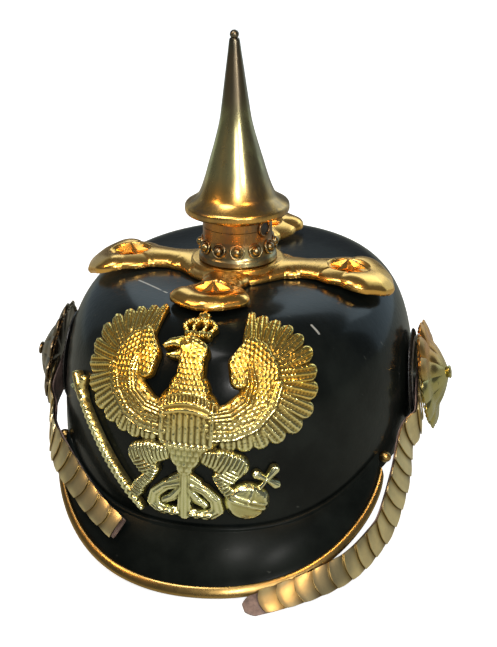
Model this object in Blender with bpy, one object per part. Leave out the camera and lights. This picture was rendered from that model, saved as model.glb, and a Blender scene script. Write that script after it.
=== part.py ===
# Dragoon helmet: a lacquered leather skull with a front peak and a neck guard,
# brass trim, spike on a cross shaped base, eagle plate, cockades, rosettes and
# chin scales. Metres, +Z up, the front faces -Y, left and right as seen from
# the front. The helmet stands on the edges of its peak and neck guard, z = 0.
from collections import namedtuple
from math import atan2, cos, hypot, pi, radians, sin

import bmesh
import bpy
import numpy as np
from mathutils import Matrix, Vector
from mathutils.geometry import delaunay_2d_cdt

# Clearances
GAP = 0.0003                    # between pieces that lie on each other
PLATE_STANDOFF = 0.0007         # under flat pieces that bridge a curved skull
EAGLE_STANDOFF = 0.0023
VISOR_GAP = 0.0006              # between the skull and the seams of peak and guard

# Skull
SKULL_HALF_WIDTH = 0.0955
SKULL_HALF_LENGTH = 0.1185
CROWN_HEIGHT = 0.0955           # from the front seam up to the top
SECTION_FULLNESS = 2.08         # exponent of the plan section, 2 is an ellipse
SIDE_FULLNESS = 6.6             # exponents of the upright profile
TOP_FULLNESS = 3.15
LEATHER = 0.0025
SPIKE_FORWARD = 0.006           # the spike's axis lies in front of the skull's middle

# Seams and rim, as heights above the ground
SEAM_HEIGHT = 0.034             # peak seam at the front
SEAM_SIDE_RISE = 0.033
BACK_SEAM_HEIGHT = 0.040
BACK_SIDE_RISE = 0.014
SEAM_POWER = 3.6                # how late the seams rise towards the sides
RIM_DEPTH = 0.008               # how far the skull reaches below its seams
SIDE_RIM_HEIGHT = 0.046

# Peak and neck guard
PEAK_REACH = 0.0196
PEAK_FLARE = 0.0123
PEAK_HALF_ANGLE = radians(58.5)
GUARD_REACH = 0.024
GUARD_FLARE = 0.014
GUARD_HALF_ANGLE = radians(60)
CORNER_REACH_POWER = 0.25       # small powers give square shouldered corners
CORNER_DROP_POWER = 0.28
VISOR_END = 0.99                # share of the half angle at which the leather ends
VISOR_STATIONS = 27
VISOR_BULGE = 0.0015
FOOT_FLAT = 0.0004              # how much of the guard's lowest edge is levelled off

# Brass channel on the peak's edge
TRIM_WIDTH = 0.0058
TRIM_MARGIN = 1.15              # the peak is straight over this many trim widths
TRIM_RETURN = 0.004
TRIM_WALL = 0.0008
TRIM_CROWN = 0.0016
TRIM_BEAD = ((1, 0), (1, 0.4), (0.7, 0.9), (0.35, 1), (0.1, 0.6))   # shares of width and crown
TRIM_END = 0.982                # ends a little before the leather
TRIM_STATIONS = 33
TRIM_STUD_RADIUS = 0.003

# Cross, measured from the spike's axis
CROSS_RADIUS = 0.0805           # to the tips of the side arms
CROSS_FRONT_SHARE = 0.87        # reach of the front arm
CROSS_BACK_SHARE = 0.99
CROSS_TURN = radians(4.5)       # the right arm a little forward
CROSS_PADDLE_HALF = 0.0213
CROSS_WAIST_HALF = 0.0106
CROSS_HUB_RADIUS = 0.0244
CROSS_HUB_FOOT = 0.0290         # where the hub's slope starts
CROSS_HUB_THICKNESS = 0.0062
CROSS_EDGE = 0.0016
CROSS_SWELL = 0.0044
CROSS_FLOAT = 0.0044            # how far the arms' tips stand off the leather
CROSS_FLOAT_POWER = 1.5
STAR_RADIUS = 0.0082
STAR_HEIGHT = 0.0042
STAR_POINTS = 6
STAR_NOTCH = 0.38
STAR_SEAT_RADIUS = 0.0092       # round recess that the star lies in
STAR_SEAT_DEPTH = 0.0024
STAR_SEAT_WALL = 0.0007         # run of the recess's sloping side

# Spike and its collar, heights from the top of the skull
COLLAR_FOOT_RADIUS = 0.0236
COLLAR_NECK_RADIUS = 0.0188
COLLAR_HEIGHT = 0.0180
PEARL_COUNT = 12
PEARL_TURN = radians(9)         # the first pearl's place, from the front to the right
PEARL_RADIUS = 0.0038
PEARL_RING = 0.90               # the pearls' circle, in foot radii
PEARL_LEVEL = 0.44              # their height, in collar heights
SPIKE_HEIGHT = 0.1285           # tip above the top of the skull
SPIKE_FLANGE_RADIUS = 0.0280
SPIKE_FLANGE_HEIGHT = 0.0368
SPIKE_FLANGE_RIM = 0.0028
SPIKE_SHOULDER_RADIUS = 0.0198
SPIKE_TIP_RADIUS = 0.0025
SPIKE_SEGMENTS = 24

# Eagle plate. Its drawing is 140 units wide, wing tip to wing tip, and 134 high.
EAGLE_SPAN = 0.131
EAGLE_HEIGHT = 0.1170
EAGLE_DRAWING_SPAN = 140
EAGLE_DRAWING_HEIGHT = 134
EAGLE_OFFSET = -0.005           # the plate sits a little off the middle
EAGLE_TILT = radians(-2)
EAGLE_EDGE = 0.0009
EAGLE_RELIEF = 0.0044           # height of a swell of 1 in the table of strokes

# Cockades, rosettes and chin scales
SIDE_STACK_HEIGHT = 0.0725      # centre of the cockades above the ground
SIDE_STACK_FORWARD = 0.002      # in front of the skull's middle
COCKADE_RADIUS = 0.025
COCKADE_THICKNESS = 0.0012
COCKADE_RING_RADIUS = 0.0195
COCKADE_RING_WIDTH = 0.003
COCKADE_RING_THICKNESS = 0.0006
COCKADE_SEGMENTS = 24
ROSETTE_RADIUS = 0.0285
ROSETTE_DEPTH = 0.0135
ROSETTE_TILT = radians(6)       # the strap pushes its lower edge outwards
ROSETTE_SEAT = 0.0020           # extra room behind it
SCALES_START = 0.0135           # first scale's root, below the rosette's middle
ROSETTE_LOBES = 12
ROSETTE_NOTCH = 0.10
ROSETTE_KNOB = 0.0028
STRAP_THICKNESS = 0.0014
SCALE_THICKNESS = 0.0020
SCALE_STEP = 0.55               # thickness of a scale's root as a share of its free end
SCALE_PITCH = 0.0098
SCALE_DROP = 0.0002             # half the run of the step from one scale to the next
STRAP_ROOT_WIDTH = 0.026
STRAP_END_WIDTH = 0.0125
STRAP_SHARE = 0.92              # width of the leather under the scales, in scale widths
STRAP_TAB = 0.009               # bare leather past the last scale
ROUTE_STEPS = 24

BRASS = (0.62, 0.43, 0.13)
PALE_BRASS = (0.66, 0.52, 0.24)
BLACK_LEATHER = (0.012, 0.013, 0.014)
STRAP_LEATHER = (0.05, 0.035, 0.025)
SILVER = (0.75, 0.75, 0.72)
COCKADE_BLACK = (0.015, 0.015, 0.015)

# Turned pieces: radius and height as shares of the piece's own sizes, from its
# foot to its top
Turn = namedtuple("Turn", "radius height")
COLLAR_FLARE = (                # shares of the foot's radius and the collar's height
    Turn(1.0, 0.0),
    Turn(1.0, 0.07),
    Turn(0.95, 0.13),
    Turn(0.89, 0.24),
    Turn(0.86, 0.44),
    Turn(0.82, 0.66),
)
SPIKE_TAPER = (                 # shares of the shoulder's radius and of the way from flange to tip
    Turn(1.0, 0.075),
    Turn(0.80, 0.20),
    Turn(0.555, 0.38),
    Turn(0.375, 0.57),
    Turn(0.265, 0.74),
    Turn(0.17, 0.90),
)
SPIKE_KNOB = (                  # shares of the tip's radius and of the way from flange to tip
    Turn(0.9, 0.96),
    Turn(1.0, 0.98),
    Turn(0.6, 0.995),
)
PEARL_ROUND = (                 # shares of the pearl's radius
    Turn(0.8, -0.6),
    Turn(1.0, 0.0),
    Turn(0.8, 0.6),
)
STAR_SLOPE = (                  # shares of the star's radius and height
    Turn(1.0, 0.0),
    Turn(1.0, 0.25),
    Turn(0.45, 0.6),
)
STUD_DOME = (                   # shares of the stud's radius
    Turn(0.8, 0.0),
    Turn(1.0, 0.5),
    Turn(0.9, 1.1),
    Turn(0.5, 1.6),
)
ROSETTE_CONE = (                # shares of the rosette's radius and depth
    Turn(0.96, 0.0),
    Turn(1.0, 0.08),
    Turn(0.86, 0.22),
    Turn(0.62, 0.34),
    Turn(0.46, 0.55),
    Turn(0.26, 0.74),
)

# One arm of the cross, from the spike's axis outwards: reach as a share of the
# arm's, half width as a share of the waist's or the paddle's
Arm = namedtuple("Arm", "reach waist paddle")
CROSS_ARM = (
    Arm(0.28, 1.75, 0),
    Arm(0.36, 1.2, 0),
    Arm(0.46, 1, 0),
    Arm(0.60, 0, 0.60),
    Arm(0.74, 0, 0.86),
)
# Its blunt end: circles across the arm, as shares of the paddle's half width
End = namedtuple("End", "across back radius")
CROSS_END = (
    End(-0.56, 0.70, 0.42),
    End(-0.28, 0.49, 0.42),
    End(0.0, 0.42, 0.42),
    End(0.28, 0.49, 0.42),
    End(0.56, 0.70, 0.42),
)
CROSS_END_RADIUS = 0.82         # the arm's last circle, in the same shares

# A stroke is a chain of circles, (along, up, radius) in drawing units, with the
# straight flanks between them. Level and swell are shares of the plate's relief.
Stroke = namedtuple("Stroke", "name mirrored level swell points")
STROKE_SHOULDER = 0.3           # share of a stroke's radius over which its level rises
EAGLE_STROKES = (
    Stroke("horn_feather", True, 0.10, 0.16, ((30, 100, 5), (24.5, 132, 1.9))),
    Stroke("top_feather", True, 0.06, 0.16, ((34, 100, 5), (32, 126, 3.4))),
    Stroke("upper_feather", True, 0.10, 0.16, ((37, 98, 5), (39, 118, 4.4))),
    Stroke("feather_1", True, 0.06, 0.18, ((38, 97, 4.5), (47, 112, 6.4))),
    Stroke("feather_2", True, 0.10, 0.18, ((40, 93, 4.5), (60, 95.5, 6.8))),
    Stroke("feather_3", True, 0.06, 0.18, ((42, 86, 4.5), (63.5, 78, 6.5))),
    Stroke("feather_4", True, 0.10, 0.18, ((42, 80, 4), (61.5, 68.5, 4.6))),
    Stroke("feather_5", True, 0.06, 0.18, ((40, 75, 4), (55, 61.8, 5.4))),
    Stroke("feather_6", True, 0.10, 0.18, ((35, 70, 4), (44.5, 55.8, 5.5))),
    Stroke("feather_7", True, 0.06, 0.18, ((29, 66, 4), (32.5, 53, 5.4))),
    Stroke("feather_8", True, 0.10, 0.18, ((20, 64, 4), (21.5, 52.3, 5))),
    Stroke("wing_arm", True, 0.28, 0.24, ((12, 62, 9.5), (24, 66.5, 9.5), (34, 76, 9.5), (37, 90, 9.5),
                                          (31, 102, 8))),
    Stroke("shoulder", True, 0.36, 0.26, ((25.5, 88, 5.6), (24.5, 97, 6.6), (28, 107, 4.6))),
    Stroke("ribbon", True, 0.52, 0.10, ((14, 60, 3), (24, 61, 3), (33, 65.5, 3), (39, 74, 3),
                                        (41, 83, 2.6))),
    Stroke("inner_fold", True, 0.48, 0.12, ((13, 68, 2.2), (22, 69.5, 2.4), (29.5, 75, 2.4), (31, 84, 2.2))),
    Stroke("neck", False, 0.50, 0.36, ((0, 99, 7.4), (0, 88, 8), (0, 80, 11.5), (0, 73, 15))),
    Stroke("breast", False, 0.46, 0.24, ((0, 68, 17), (0, 58, 17.3))),
    Stroke("belly", False, 0.42, 0.26, ((0, 52, 14), (0, 44, 9), (0, 37, 5))),
    Stroke("thigh", True, 0.40, 0.28, ((13, 43.6, 4.2), (19.5, 41, 6.1), (25, 38.4, 6.1), (21, 33, 4.5))),
    Stroke("leg", True, 0.38, 0.22, ((18, 33, 4.2), (20.5, 27, 3.5), (25, 21.5, 3.8), (27, 17, 4.2))),
    Stroke("tail_stem", False, 0.40, 0.24, ((0, 40, 3.6), (0, 27, 3), (0, 14, 4.4), (0, 8.6, 4))),
    Stroke("tail_root", True, 0.30, 0.20, ((0, 31.5, 4), (6.5, 28, 3))),
    Stroke("tail_scroll", True, 0.32, 0.24, ((4, 27, 3), (10.5, 24.3, 3), (16, 18.6, 3), (17.2, 12.2, 3.4),
                                             (13.2, 9.2, 3.2), (8, 9, 3.1), (4, 9, 3))),
    Stroke("head", False, 0.62, 0.34, ((-2.5, 104, 6.2), (1.5, 101, 7))),
    Stroke("upper_beak", False, 0.56, 0.26, ((-7, 105.4, 3.6), (-12, 104.2, 2.6), (-15.4, 101.6, 1.3))),
    Stroke("lower_beak", False, 0.50, 0.18, ((-6, 99.2, 3), (-10.6, 97.6, 1.8), (-13.4, 97.2, 1))),
    Stroke("crown_band", False, 0.52, 0.14, ((-5.6, 111.3, 2), (5.6, 111.3, 2))),
    Stroke("crown_side", True, 0.44, 0.12, ((6, 113, 1.3), (8.6, 117.2, 1.3), (6, 121.4, 1.3),
                                            (0, 123, 1.5))),
    Stroke("crown_rib", True, 0.44, 0.12, ((2.3, 113, 1.1), (3.3, 117.5, 1.1), (1, 122, 1.1))),
    Stroke("crown_cross_post", False, 0.44, 0.12, ((0, 123, 1.3), (0, 130.4, 1.2))),
    Stroke("crown_cross_bar", False, 0.44, 0.12, ((-2.2, 127.6, 1.1), (2.2, 127.6, 1.1))),
    Stroke("sceptre", False, 0.50, 0.18, ((-23.5, 6.4, 1.3), (-30, 13, 3), (-45, 28.5, 3.1), (-60, 45, 3),
                                          (-72, 57, 2.7))),
    Stroke("sceptre_head", False, 0.50, 0.22, ((-72, 57, 3.6), (-80, 65, 3.2))),
    Stroke("sceptre_leaf_in", False, 0.40, 0.18, ((-73, 60, 1.9), (-72, 67, 1.7))),
    Stroke("sceptre_leaf_out", False, 0.40, 0.18, ((-77, 58, 1.9), (-83, 58, 1.7))),
    Stroke("orb", False, 0.36, 0.62, ((32, 18, 11.8), (32.2, 18, 11.8))),
    Stroke("orb_cross_post", False, 0.36, 0.12, ((38.5, 27, 1.8), (45, 35.6, 2.2))),
    Stroke("orb_cross_bar", False, 0.36, 0.12, ((37.2, 34, 2.2), (46.2, 27.8, 2.2))),
)

# How finely a relief plate is meshed, in its drawing's unit: the grid its
# outline is read on, the distance of the points inside, how far the outline
# may be simplified and the smallest opening that is kept
Weave = namedtuple("Weave", "pitch fill tolerance smallest")
EAGLE_MESH = Weave(1.0, 6.4, 0.42, 3.0)
CROSS_MESH = Weave(0.0012, 0.0086, 0.0004, 0.00001)
UNROLL_STEPS = 401

# The straps' routes run over the middle of the scales' outer faces. On the
# skull: angle from the front in degrees, height above the ground as a share of
# SIDE_STACK_HEIGHT, distance from the leather. On the peak: share of its half
# angle, share of the way from seam to edge, distance from the leather. Beside
# the edge: share of the half angle, height as a share of the strap's end
# width, distance out from the edge. Lean is the strap's tilt from upright.
Stop = namedtuple("Stop", "over along across out lean")
LEFT_ROUTE = (
    Stop("skull", 70, 0.62, 0.0065, 5),
    Stop("skull", 60, 0.52, 0.0128, 12),
    Stop("peak", 0.86, 0.28, 0.0094, 0),
    Stop("peak", 0.72, 0.28, 0.0056, 0),
    Stop("peak", 0.56, 0.26, 0.0052, 0),
    Stop("peak", 0.42, 0.26, 0.0050, 0),
)
RIGHT_ROUTE = (
    Stop("skull", 73, 0.66, 0.0065, 3),
    Stop("skull", 62, 0.50, 0.0110, 0),
    Stop("edge", 0.93, 1.75, 0.0070, 0),
    Stop("edge", 0.84, 1.25, 0.0066, 6),
    Stop("edge", 0.70, 0.92, 0.0080, 18),
    Stop("edge", 0.54, 0.80, 0.0070, 36),
    Stop("edge", 0.38, 0.62, 0.0062, 52),
    Stop("edge", 0.22, 0.48, 0.0095, 62),
)


FILL_MARGIN = 0.41              # least way from a fill point to a line, in fill steps
CREASE_CORNERS = 16


# Skull shape

def section_unit(angle):
    # Unit superellipse, measured from the front; right is positive
    s, c = sin(angle), cos(angle)
    k = (abs(s) ** SECTION_FULLNESS + abs(c) ** SECTION_FULLNESS) ** (-1 / SECTION_FULLNESS)
    return s * k, -c * k


def skull_scale(z, crown=CROWN_HEIGHT):
    # Share of the full section left at a height: the upright profile
    h = min(max((z - SEAM_HEIGHT) / crown, 0.0), 1.0)
    return (1 - h ** TOP_FULLNESS) ** (1 / SIDE_FULLNESS)


def skull_point(angle, z, grow=0.0):
    ux, uy = section_unit(angle)
    scale = skull_scale(z, CROWN_HEIGHT + grow)
    return Vector(((SKULL_HALF_WIDTH + grow) * scale * ux, (SKULL_HALF_LENGTH + grow) * scale * uy, z))


def outward(angle):
    # Horizontal normal of the section
    step = 0.01
    a = skull_point(angle - step, SEAM_HEIGHT)
    b = skull_point(angle + step, SEAM_HEIGHT)
    t = (b - a).normalized()
    return Vector((-t.y, t.x, 0)) * -1


def skull_top():
    return SEAM_HEIGHT + CROWN_HEIGHT


def rim_height(angle):
    front = SEAM_HEIGHT - RIM_DEPTH
    back = BACK_SEAM_HEIGHT - RIM_DEPTH
    end = front if cos(angle) > 0 else back
    return SIDE_RIM_HEIGHT + (end - SIDE_RIM_HEIGHT) * cos(angle) ** 2


def seam_height(angle, back=False):
    across = abs(section_unit(angle)[0]) ** SEAM_POWER
    if back:
        return BACK_SEAM_HEIGHT + BACK_SIDE_RISE * across
    return SEAM_HEIGHT + SEAM_SIDE_RISE * across


def top_height(x, y):
    # Height of the skull's outer face above a point in plan
    power = SECTION_FULLNESS
    share = abs(x / SKULL_HALF_WIDTH) ** power + abs(y / SKULL_HALF_LENGTH) ** power
    share = min(share ** (1 / power), 0.999)
    return SEAM_HEIGHT + CROWN_HEIGHT * (1 - share ** SIDE_FULLNESS) ** (1 / TOP_FULLNESS)


# Mesh helpers

def material(name, colour, roughness, metallic):
    mat = bpy.data.materials.new(name)
    mat.use_nodes = True
    shader = mat.node_tree.nodes["Principled BSDF"]
    shader.inputs["Base Color"].default_value = (*colour, 1)
    shader.inputs["Roughness"].default_value = roughness
    shader.inputs["Metallic"].default_value = metallic
    mat.diffuse_color = (*colour, 1)
    return mat


def add_object(name, vertices, faces, colour, roughness=0.3, metallic=1.0, sharp=40):
    mesh = bpy.data.meshes.new(name)
    mesh.from_pydata([tuple(v) for v in vertices], [], faces)
    bm = bmesh.new()
    bm.from_mesh(mesh)
    bmesh.ops.remove_doubles(bm, verts=bm.verts, dist=0.000002)
    bmesh.ops.recalc_face_normals(bm, faces=bm.faces)
    bmesh.ops.triangulate(bm, faces=[f for f in bm.faces if len(f.verts) > 4])
    bm.to_mesh(mesh)
    bm.free()
    mesh.shade_smooth()
    mesh.set_sharp_from_angle(angle=radians(sharp))
    mesh.materials.append(material(name, colour, roughness, metallic))
    obj = bpy.data.objects.new(name, mesh)
    bpy.context.scene.collection.objects.link(obj)
    return obj


def ring_faces(rings, count, first=0):
    # Quads between consecutive rings of count points each
    faces = []
    for r in range(rings - 1):
        for i in range(count):
            j = (i + 1) % count
            a = first + r * count
            faces.append((a + i, a + j, a + count + j, a + count + i))
    return faces


def swept(sections):
    # Closed solid through sections with equally many points, with flat ends
    count = len(sections[0])
    vertices = [p for ring in sections for p in ring]
    faces = ring_faces(len(sections), count)
    faces.append(tuple(range(count))[::-1])
    faces.append(tuple(range(len(vertices) - count, len(vertices))))
    return vertices, faces


def turned(profile, segments, centre=Vector((0, 0, 0)), lobes=0, lobe_depth=0.0):
    # Solid of revolution about +Z from (radius, height) pairs between two axis
    # points; lobes scallop the rings in proportion to their share of the rim
    rim = max(r for r, z in profile)
    vertices = [centre + Vector((0, 0, profile[0][1]))]
    for radius, z in profile[1:-1]:
        for i in range(segments):
            a = 2 * pi * i / segments
            wave = 1 - lobe_depth * (radius / rim) ** 2 * (0.5 - 0.5 * cos(lobes * a)) if lobes else 1
            vertices.append(centre + Vector((radius * wave * cos(a), radius * wave * sin(a), z)))
    vertices.append(centre + Vector((0, 0, profile[-1][1])))
    rings = len(profile) - 2
    faces = ring_faces(rings, segments, 1)
    top = len(vertices) - 1
    for i in range(segments):
        j = (i + 1) % segments
        faces.append((0, 1 + j, 1 + i))
        faces.append((top, top - segments + i, top - segments + j))
    return vertices, faces


def shares(table, radius, height, start=0.0):
    # Profile points from a table of turns
    return [(turn.radius * radius, start + turn.height * height) for turn in table]


def place(obj, origin, axis):
    # Stands an object built about +Z at origin, with its axis along axis
    turn = Vector((0, 0, 1)).rotation_difference(axis)
    obj.matrix_world = Matrix.Translation(origin) @ turn.to_matrix().to_4x4()


# Relief plates: outlines and heights from strokes

def stroke_depth(points, x, y):
    # How far inside a chain of circles the points lie; negative outside
    best = np.full(x.shape, -1e9)
    for (ax, ay, ar), (bx, by, br) in zip(points, points[1:]):
        dx, dy = bx - ax, by - ay
        t = np.clip(((x - ax) * dx + (y - ay) * dy) / (dx * dx + dy * dy), 0, 1)
        reach = np.hypot(x - ax - t * dx, y - ay - t * dy)
        best = np.maximum(best, ar + t * (br - ar) - reach)
    return best


def stroke_size(points, x, y):
    # Radius of the nearest circle of the chain
    size = np.zeros(x.shape)
    best = np.full(x.shape, 1e9)
    for (ax, ay, ar), (bx, by, br) in zip(points, points[1:]):
        dx, dy = bx - ax, by - ay
        t = np.clip(((x - ax) * dx + (y - ay) * dy) / (dx * dx + dy * dy), 0, 1)
        reach = np.hypot(x - ax - t * dx, y - ay - t * dy)
        size = np.where(reach < best, ar + t * (br - ar), size)
        best = np.minimum(best, reach)
    return size


def strokes_field(strokes, x, y):
    # Depth inside the union of the strokes, and the relief of the highest one
    depth = np.full(x.shape, -1e9)
    relief = np.zeros(x.shape)
    for stroke in strokes:
        sx = np.abs(x) if stroke.mirrored else x
        d = stroke_depth(stroke.points, sx, y)
        depth = np.maximum(depth, d)
        inner = np.clip(d / stroke_size(stroke.points, sx, y), 0, 1)
        height = stroke.level * np.clip(inner / STROKE_SHOULDER, 0, 1)
        height += stroke.swell * np.sqrt(1 - (1 - inner) ** 2)
        relief = np.maximum(relief, np.where(d > 0, height, 0))
    return depth, relief


def contour_loops(field, xs, ys):
    # Closed zero lines of a field on a grid, by marching squares
    links = {}
    rows, cols = field.shape

    def cut(i, j, k, l):
        t = field[i, j] / (field[i, j] - field[k, l])
        return (i, j, k, l), (xs[j] + t * (xs[l] - xs[j]), ys[i] + t * (ys[k] - ys[i]))

    points = {}
    inside = field > 0
    low_left, low_right = inside[:-1, :-1], inside[:-1, 1:]
    high_left, high_right = inside[1:, :-1], inside[1:, 1:]
    mixed = (low_left ^ high_right) | (low_right ^ high_left) | (low_left ^ high_left)
    for i, j in zip(*np.nonzero(mixed)):
        corners = ((i, j), (i, j + 1), (i + 1, j + 1), (i + 1, j))
        cuts = []
        for (a, b), (c, d) in zip(corners, corners[1:] + corners[:1]):
            if inside[a, b] != inside[c, d]:
                key = (a, b, c, d) if (a, b) < (c, d) else (c, d, a, b)
                points[key] = cut(*key)[1]
                cuts.append((key, inside[a, b]))
        leaving = [key for key, was_in in cuts if was_in]
        entering = [key for key, was_in in cuts if not was_in]
        for start, end in zip(entering, leaving):
            links[end] = start
    loops = []
    while links:
        start, nxt = links.popitem()
        loop = [start]
        while nxt != start:
            loop.append(nxt)
            nxt = links.pop(nxt)
        loops.append([points[key] for key in loop])
    return loops


def simplified(loop, tolerance):
    # Drops the points of a closed loop that lie within a tolerance of the rest
    pts = np.array(loop)

    def keep(lo, hi):
        if hi - lo < 2:
            return []
        a, b = pts[lo], pts[hi % len(pts)]
        d = b - a
        mid = pts[lo + 1:hi]
        length = max(np.hypot(*d), 1e-12)
        off = np.abs(d[0] * (mid[:, 1] - a[1]) - d[1] * (mid[:, 0] - a[0])) / length
        k = int(off.argmax())
        if off[k] < tolerance:
            return []
        k += lo + 1
        return keep(lo, k) + [k] + keep(k, hi)

    far = int(np.hypot(*(pts - pts[0]).T).argmax())
    kept = [0] + keep(0, far) + [far] + keep(far, len(pts))
    return [tuple(pts[k]) for k in kept]


def loop_area(loop):
    p = np.array(loop)
    q = np.roll(p, -1, axis=0)
    return 0.5 * float((p[:, 0] * q[:, 1] - p[:, 1] * q[:, 0]).sum())


def inside_loops(loops, x, y):
    # Even-odd test of points against all loops
    odd = np.zeros(len(x), bool)
    for loop in loops:
        p = np.array(loop)
        q = np.roll(p, -1, axis=0)
        for (ax, ay), (bx, by) in zip(p, q):
            if ay != by:
                crossing = ((ay > y) != (by > y)) & (x < (bx - ax) * (y - ay) / (by - ay) + ax)
                odd ^= crossing
    return odd


def relief_plate(strokes, weave, seat, height, creases=()):
    # Plate over the union of the strokes. seat(x, y, h) gives the point h above
    # the plate's back, height(x, y, relief) the thickness. Creases are circles
    # (x, y, radius) that edges of the mesh follow.
    pitch, step = weave.pitch, weave.fill
    reach = [(p[0], p[1], p[2]) for s in strokes for p in s.points]
    wide = max(abs(x) + r for x, y, r in reach) + pitch
    low = min(y - r for x, y, r in reach) - pitch
    high = max(y + r for x, y, r in reach) + pitch
    xs = np.arange(-wide, wide + pitch, pitch)
    ys = np.arange(low, high + pitch, pitch)
    grid_x, grid_y = np.meshgrid(xs, ys)
    loops = contour_loops(strokes_field(strokes, grid_x, grid_y)[0], xs, ys)
    loops = [simplified(loop, weave.tolerance) for loop in loops if abs(loop_area(loop)) > weave.smallest]
    fill = []
    for k, y in enumerate(np.arange(low, high, step * sin(pi / 3))):
        fill += [(x + k % 2 * step / 2, y) for x in np.arange(-wide, wide, step)]
    fill = np.array(fill)
    deep = strokes_field(strokes, fill[:, 0], fill[:, 1])[0] > step * FILL_MARGIN
    deep &= inside_loops(loops, fill[:, 0], fill[:, 1])
    for x, y, radius in creases:
        deep &= np.abs(np.hypot(fill[:, 0] - x, fill[:, 1] - y) - radius) > step * FILL_MARGIN
    corners = [2 * pi * i / CREASE_CORNERS for i in range(CREASE_CORNERS)]
    circles = [[(x + radius * cos(a), y + radius * sin(a)) for a in corners] for x, y, radius in creases]
    points = [p for line in loops + circles for p in line] + [tuple(p) for p in fill[deep]]
    edges = []
    first = 0
    for line in loops + circles:
        edges += [(first + i, first + (i + 1) % len(line)) for i in range(len(line))]
        first += len(line)
    flat, _, triangles, _, _, _ = delaunay_2d_cdt([Vector(p) for p in points], edges, [], 0, 1e-7)
    flat = np.array([(v.x, v.y) for v in flat])
    triangles = np.array([list(t) for t in triangles])
    middle = flat[triangles].mean(axis=1)
    triangles = triangles[inside_loops(loops, middle[:, 0], middle[:, 1])]
    count = len(flat)
    relief = strokes_field(strokes, flat[:, 0], flat[:, 1])[1]
    thick = [height(x, y, r) for (x, y), r in zip(flat, relief)]
    vertices = [seat(x, y, t) for (x, y), t in zip(flat, thick)] + [seat(x, y, 0) for x, y in flat]
    faces = [tuple(t) for t in triangles] + [tuple(t[::-1] + count) for t in triangles]
    uses = {}
    for t in triangles:
        for a, b in zip(t, np.roll(t, -1)):
            uses[(a, b)] = uses.get((a, b), 0) + 1
    for a, b in uses:
        if (b, a) not in uses:
            faces.append((b, a, a + count, b + count))
    return vertices, faces


# Pieces

def build_skull():
    segments, rows = 40, 11
    shells = []
    for grow in (0.0, -LEATHER):
        rings = []
        top = skull_top() + grow
        for r in range(rows):
            t = r / rows * pi / 2
            z = SEAM_HEIGHT + (CROWN_HEIGHT + grow) * sin(t) ** (2 / TOP_FULLNESS)
            ring = []
            for i in range(segments):
                angle = 2 * pi * i / segments
                rim = rim_height(angle)
                height = top - (top - z) * (top - rim) / (top - SEAM_HEIGHT)
                ring.append(skull_point(angle, height, grow))
            rings.append(ring)
        shells.append((rings, Vector((0, 0, top))))
    (outer, outer_top), (inner, inner_top) = shells
    vertices = [p for ring in outer + inner for p in ring] + [outer_top, inner_top]
    half = rows * segments
    faces = ring_faces(rows, segments) + ring_faces(rows, segments, half)
    for i in range(segments):
        j = (i + 1) % segments
        faces.append((half - segments + i, half - segments + j, 2 * half))
        faces.append((2 * half - segments + i, 2 * half - segments + j, 2 * half + 1))
        faces.append((i, j, half + j, half + i))
    return add_object("skull", vertices, faces, BLACK_LEATHER, 0.2, 0.0)


def corner_share(t, power):
    return max(cos(t * pi / 2), 1e-4) ** power


class Visor:
    # The shape shared by the peak and the neck guard. t runs from -1 to 1 along
    # the seam, v from 0 at the seam to 1 at the edge.
    def __init__(self, back, half_angle, reach, flare, edge_height):
        self.back = back
        self.half_angle = half_angle
        self.reach = reach
        self.flare = flare
        self.edge_height = edge_height

    def angle(self, t):
        return pi - t * self.half_angle if self.back else t * self.half_angle

    def seam(self, t):
        angle = self.angle(t)
        z = seam_height(angle, self.back)
        return skull_point(angle, z) + outward(angle) * VISOR_GAP

    def edge(self, t):
        angle = self.angle(t)
        ux, uy = section_unit(angle)
        share = corner_share(t, CORNER_REACH_POWER)
        foot = seam_height(self.angle(0), self.back)
        drop = (foot - self.edge_height) * corner_share(t, CORNER_DROP_POWER)
        z = max(seam_height(angle, self.back) - drop, self.edge_height)
        half_width = SKULL_HALF_WIDTH + self.flare * share
        half_length = SKULL_HALF_LENGTH + self.reach * share
        return Vector((half_width * ux, half_length * uy, z))

    def normal(self, t, v=0.5):
        step = 0.004
        along = self.chord(min(t + step, 1), v) - self.chord(max(t - step, -1), v)
        n = along.cross(self.seam(t) - self.edge(t)).normalized()
        return n if n.z > 0 else -n

    def chord(self, t, v):
        return self.seam(t).lerp(self.edge(t), v)

    def straight_from(self, t):
        # Share of the way to the edge at which the bulge ends, above the trim
        return 1 - TRIM_MARGIN * TRIM_WIDTH / (self.edge(t) - self.seam(t)).length

    def point(self, t, v, lift=0.0):
        w = min(v / self.straight_from(t), 1)
        bulge = VISOR_BULGE * 4 * w * (1 - w) * corner_share(t, CORNER_REACH_POWER)
        return self.chord(t, v) + self.normal(t) * (bulge + lift)


def trim_section():
    # Channel in (up the peak, out of the peak), from the outermost edge line
    under = -LEATHER - GAP
    top = GAP
    foot = under - TRIM_WALL
    bead = [(share * TRIM_WIDTH, top + rise * TRIM_CROWN) for share, rise in TRIM_BEAD]
    fold = [(0, -LEATHER / 2), (0.1 * TRIM_WIDTH, foot), (TRIM_RETURN, foot), (TRIM_RETURN, under)]
    return bead + fold + [(TRIM_WALL, under), (TRIM_WALL, top)]


def peak_edge_height():
    # Height of the peak's edge line that puts the channel's lowest point on z = 0
    slope = atan2(SEAM_HEIGHT, PEAK_REACH)
    return max(-(up * sin(slope) + out * cos(slope)) for up, out in trim_section())


PEAK = Visor(False, PEAK_HALF_ANGLE, PEAK_REACH, PEAK_FLARE, peak_edge_height())
GUARD = Visor(True, GUARD_HALF_ANGLE, GUARD_REACH, GUARD_FLARE, 0.0)


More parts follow.
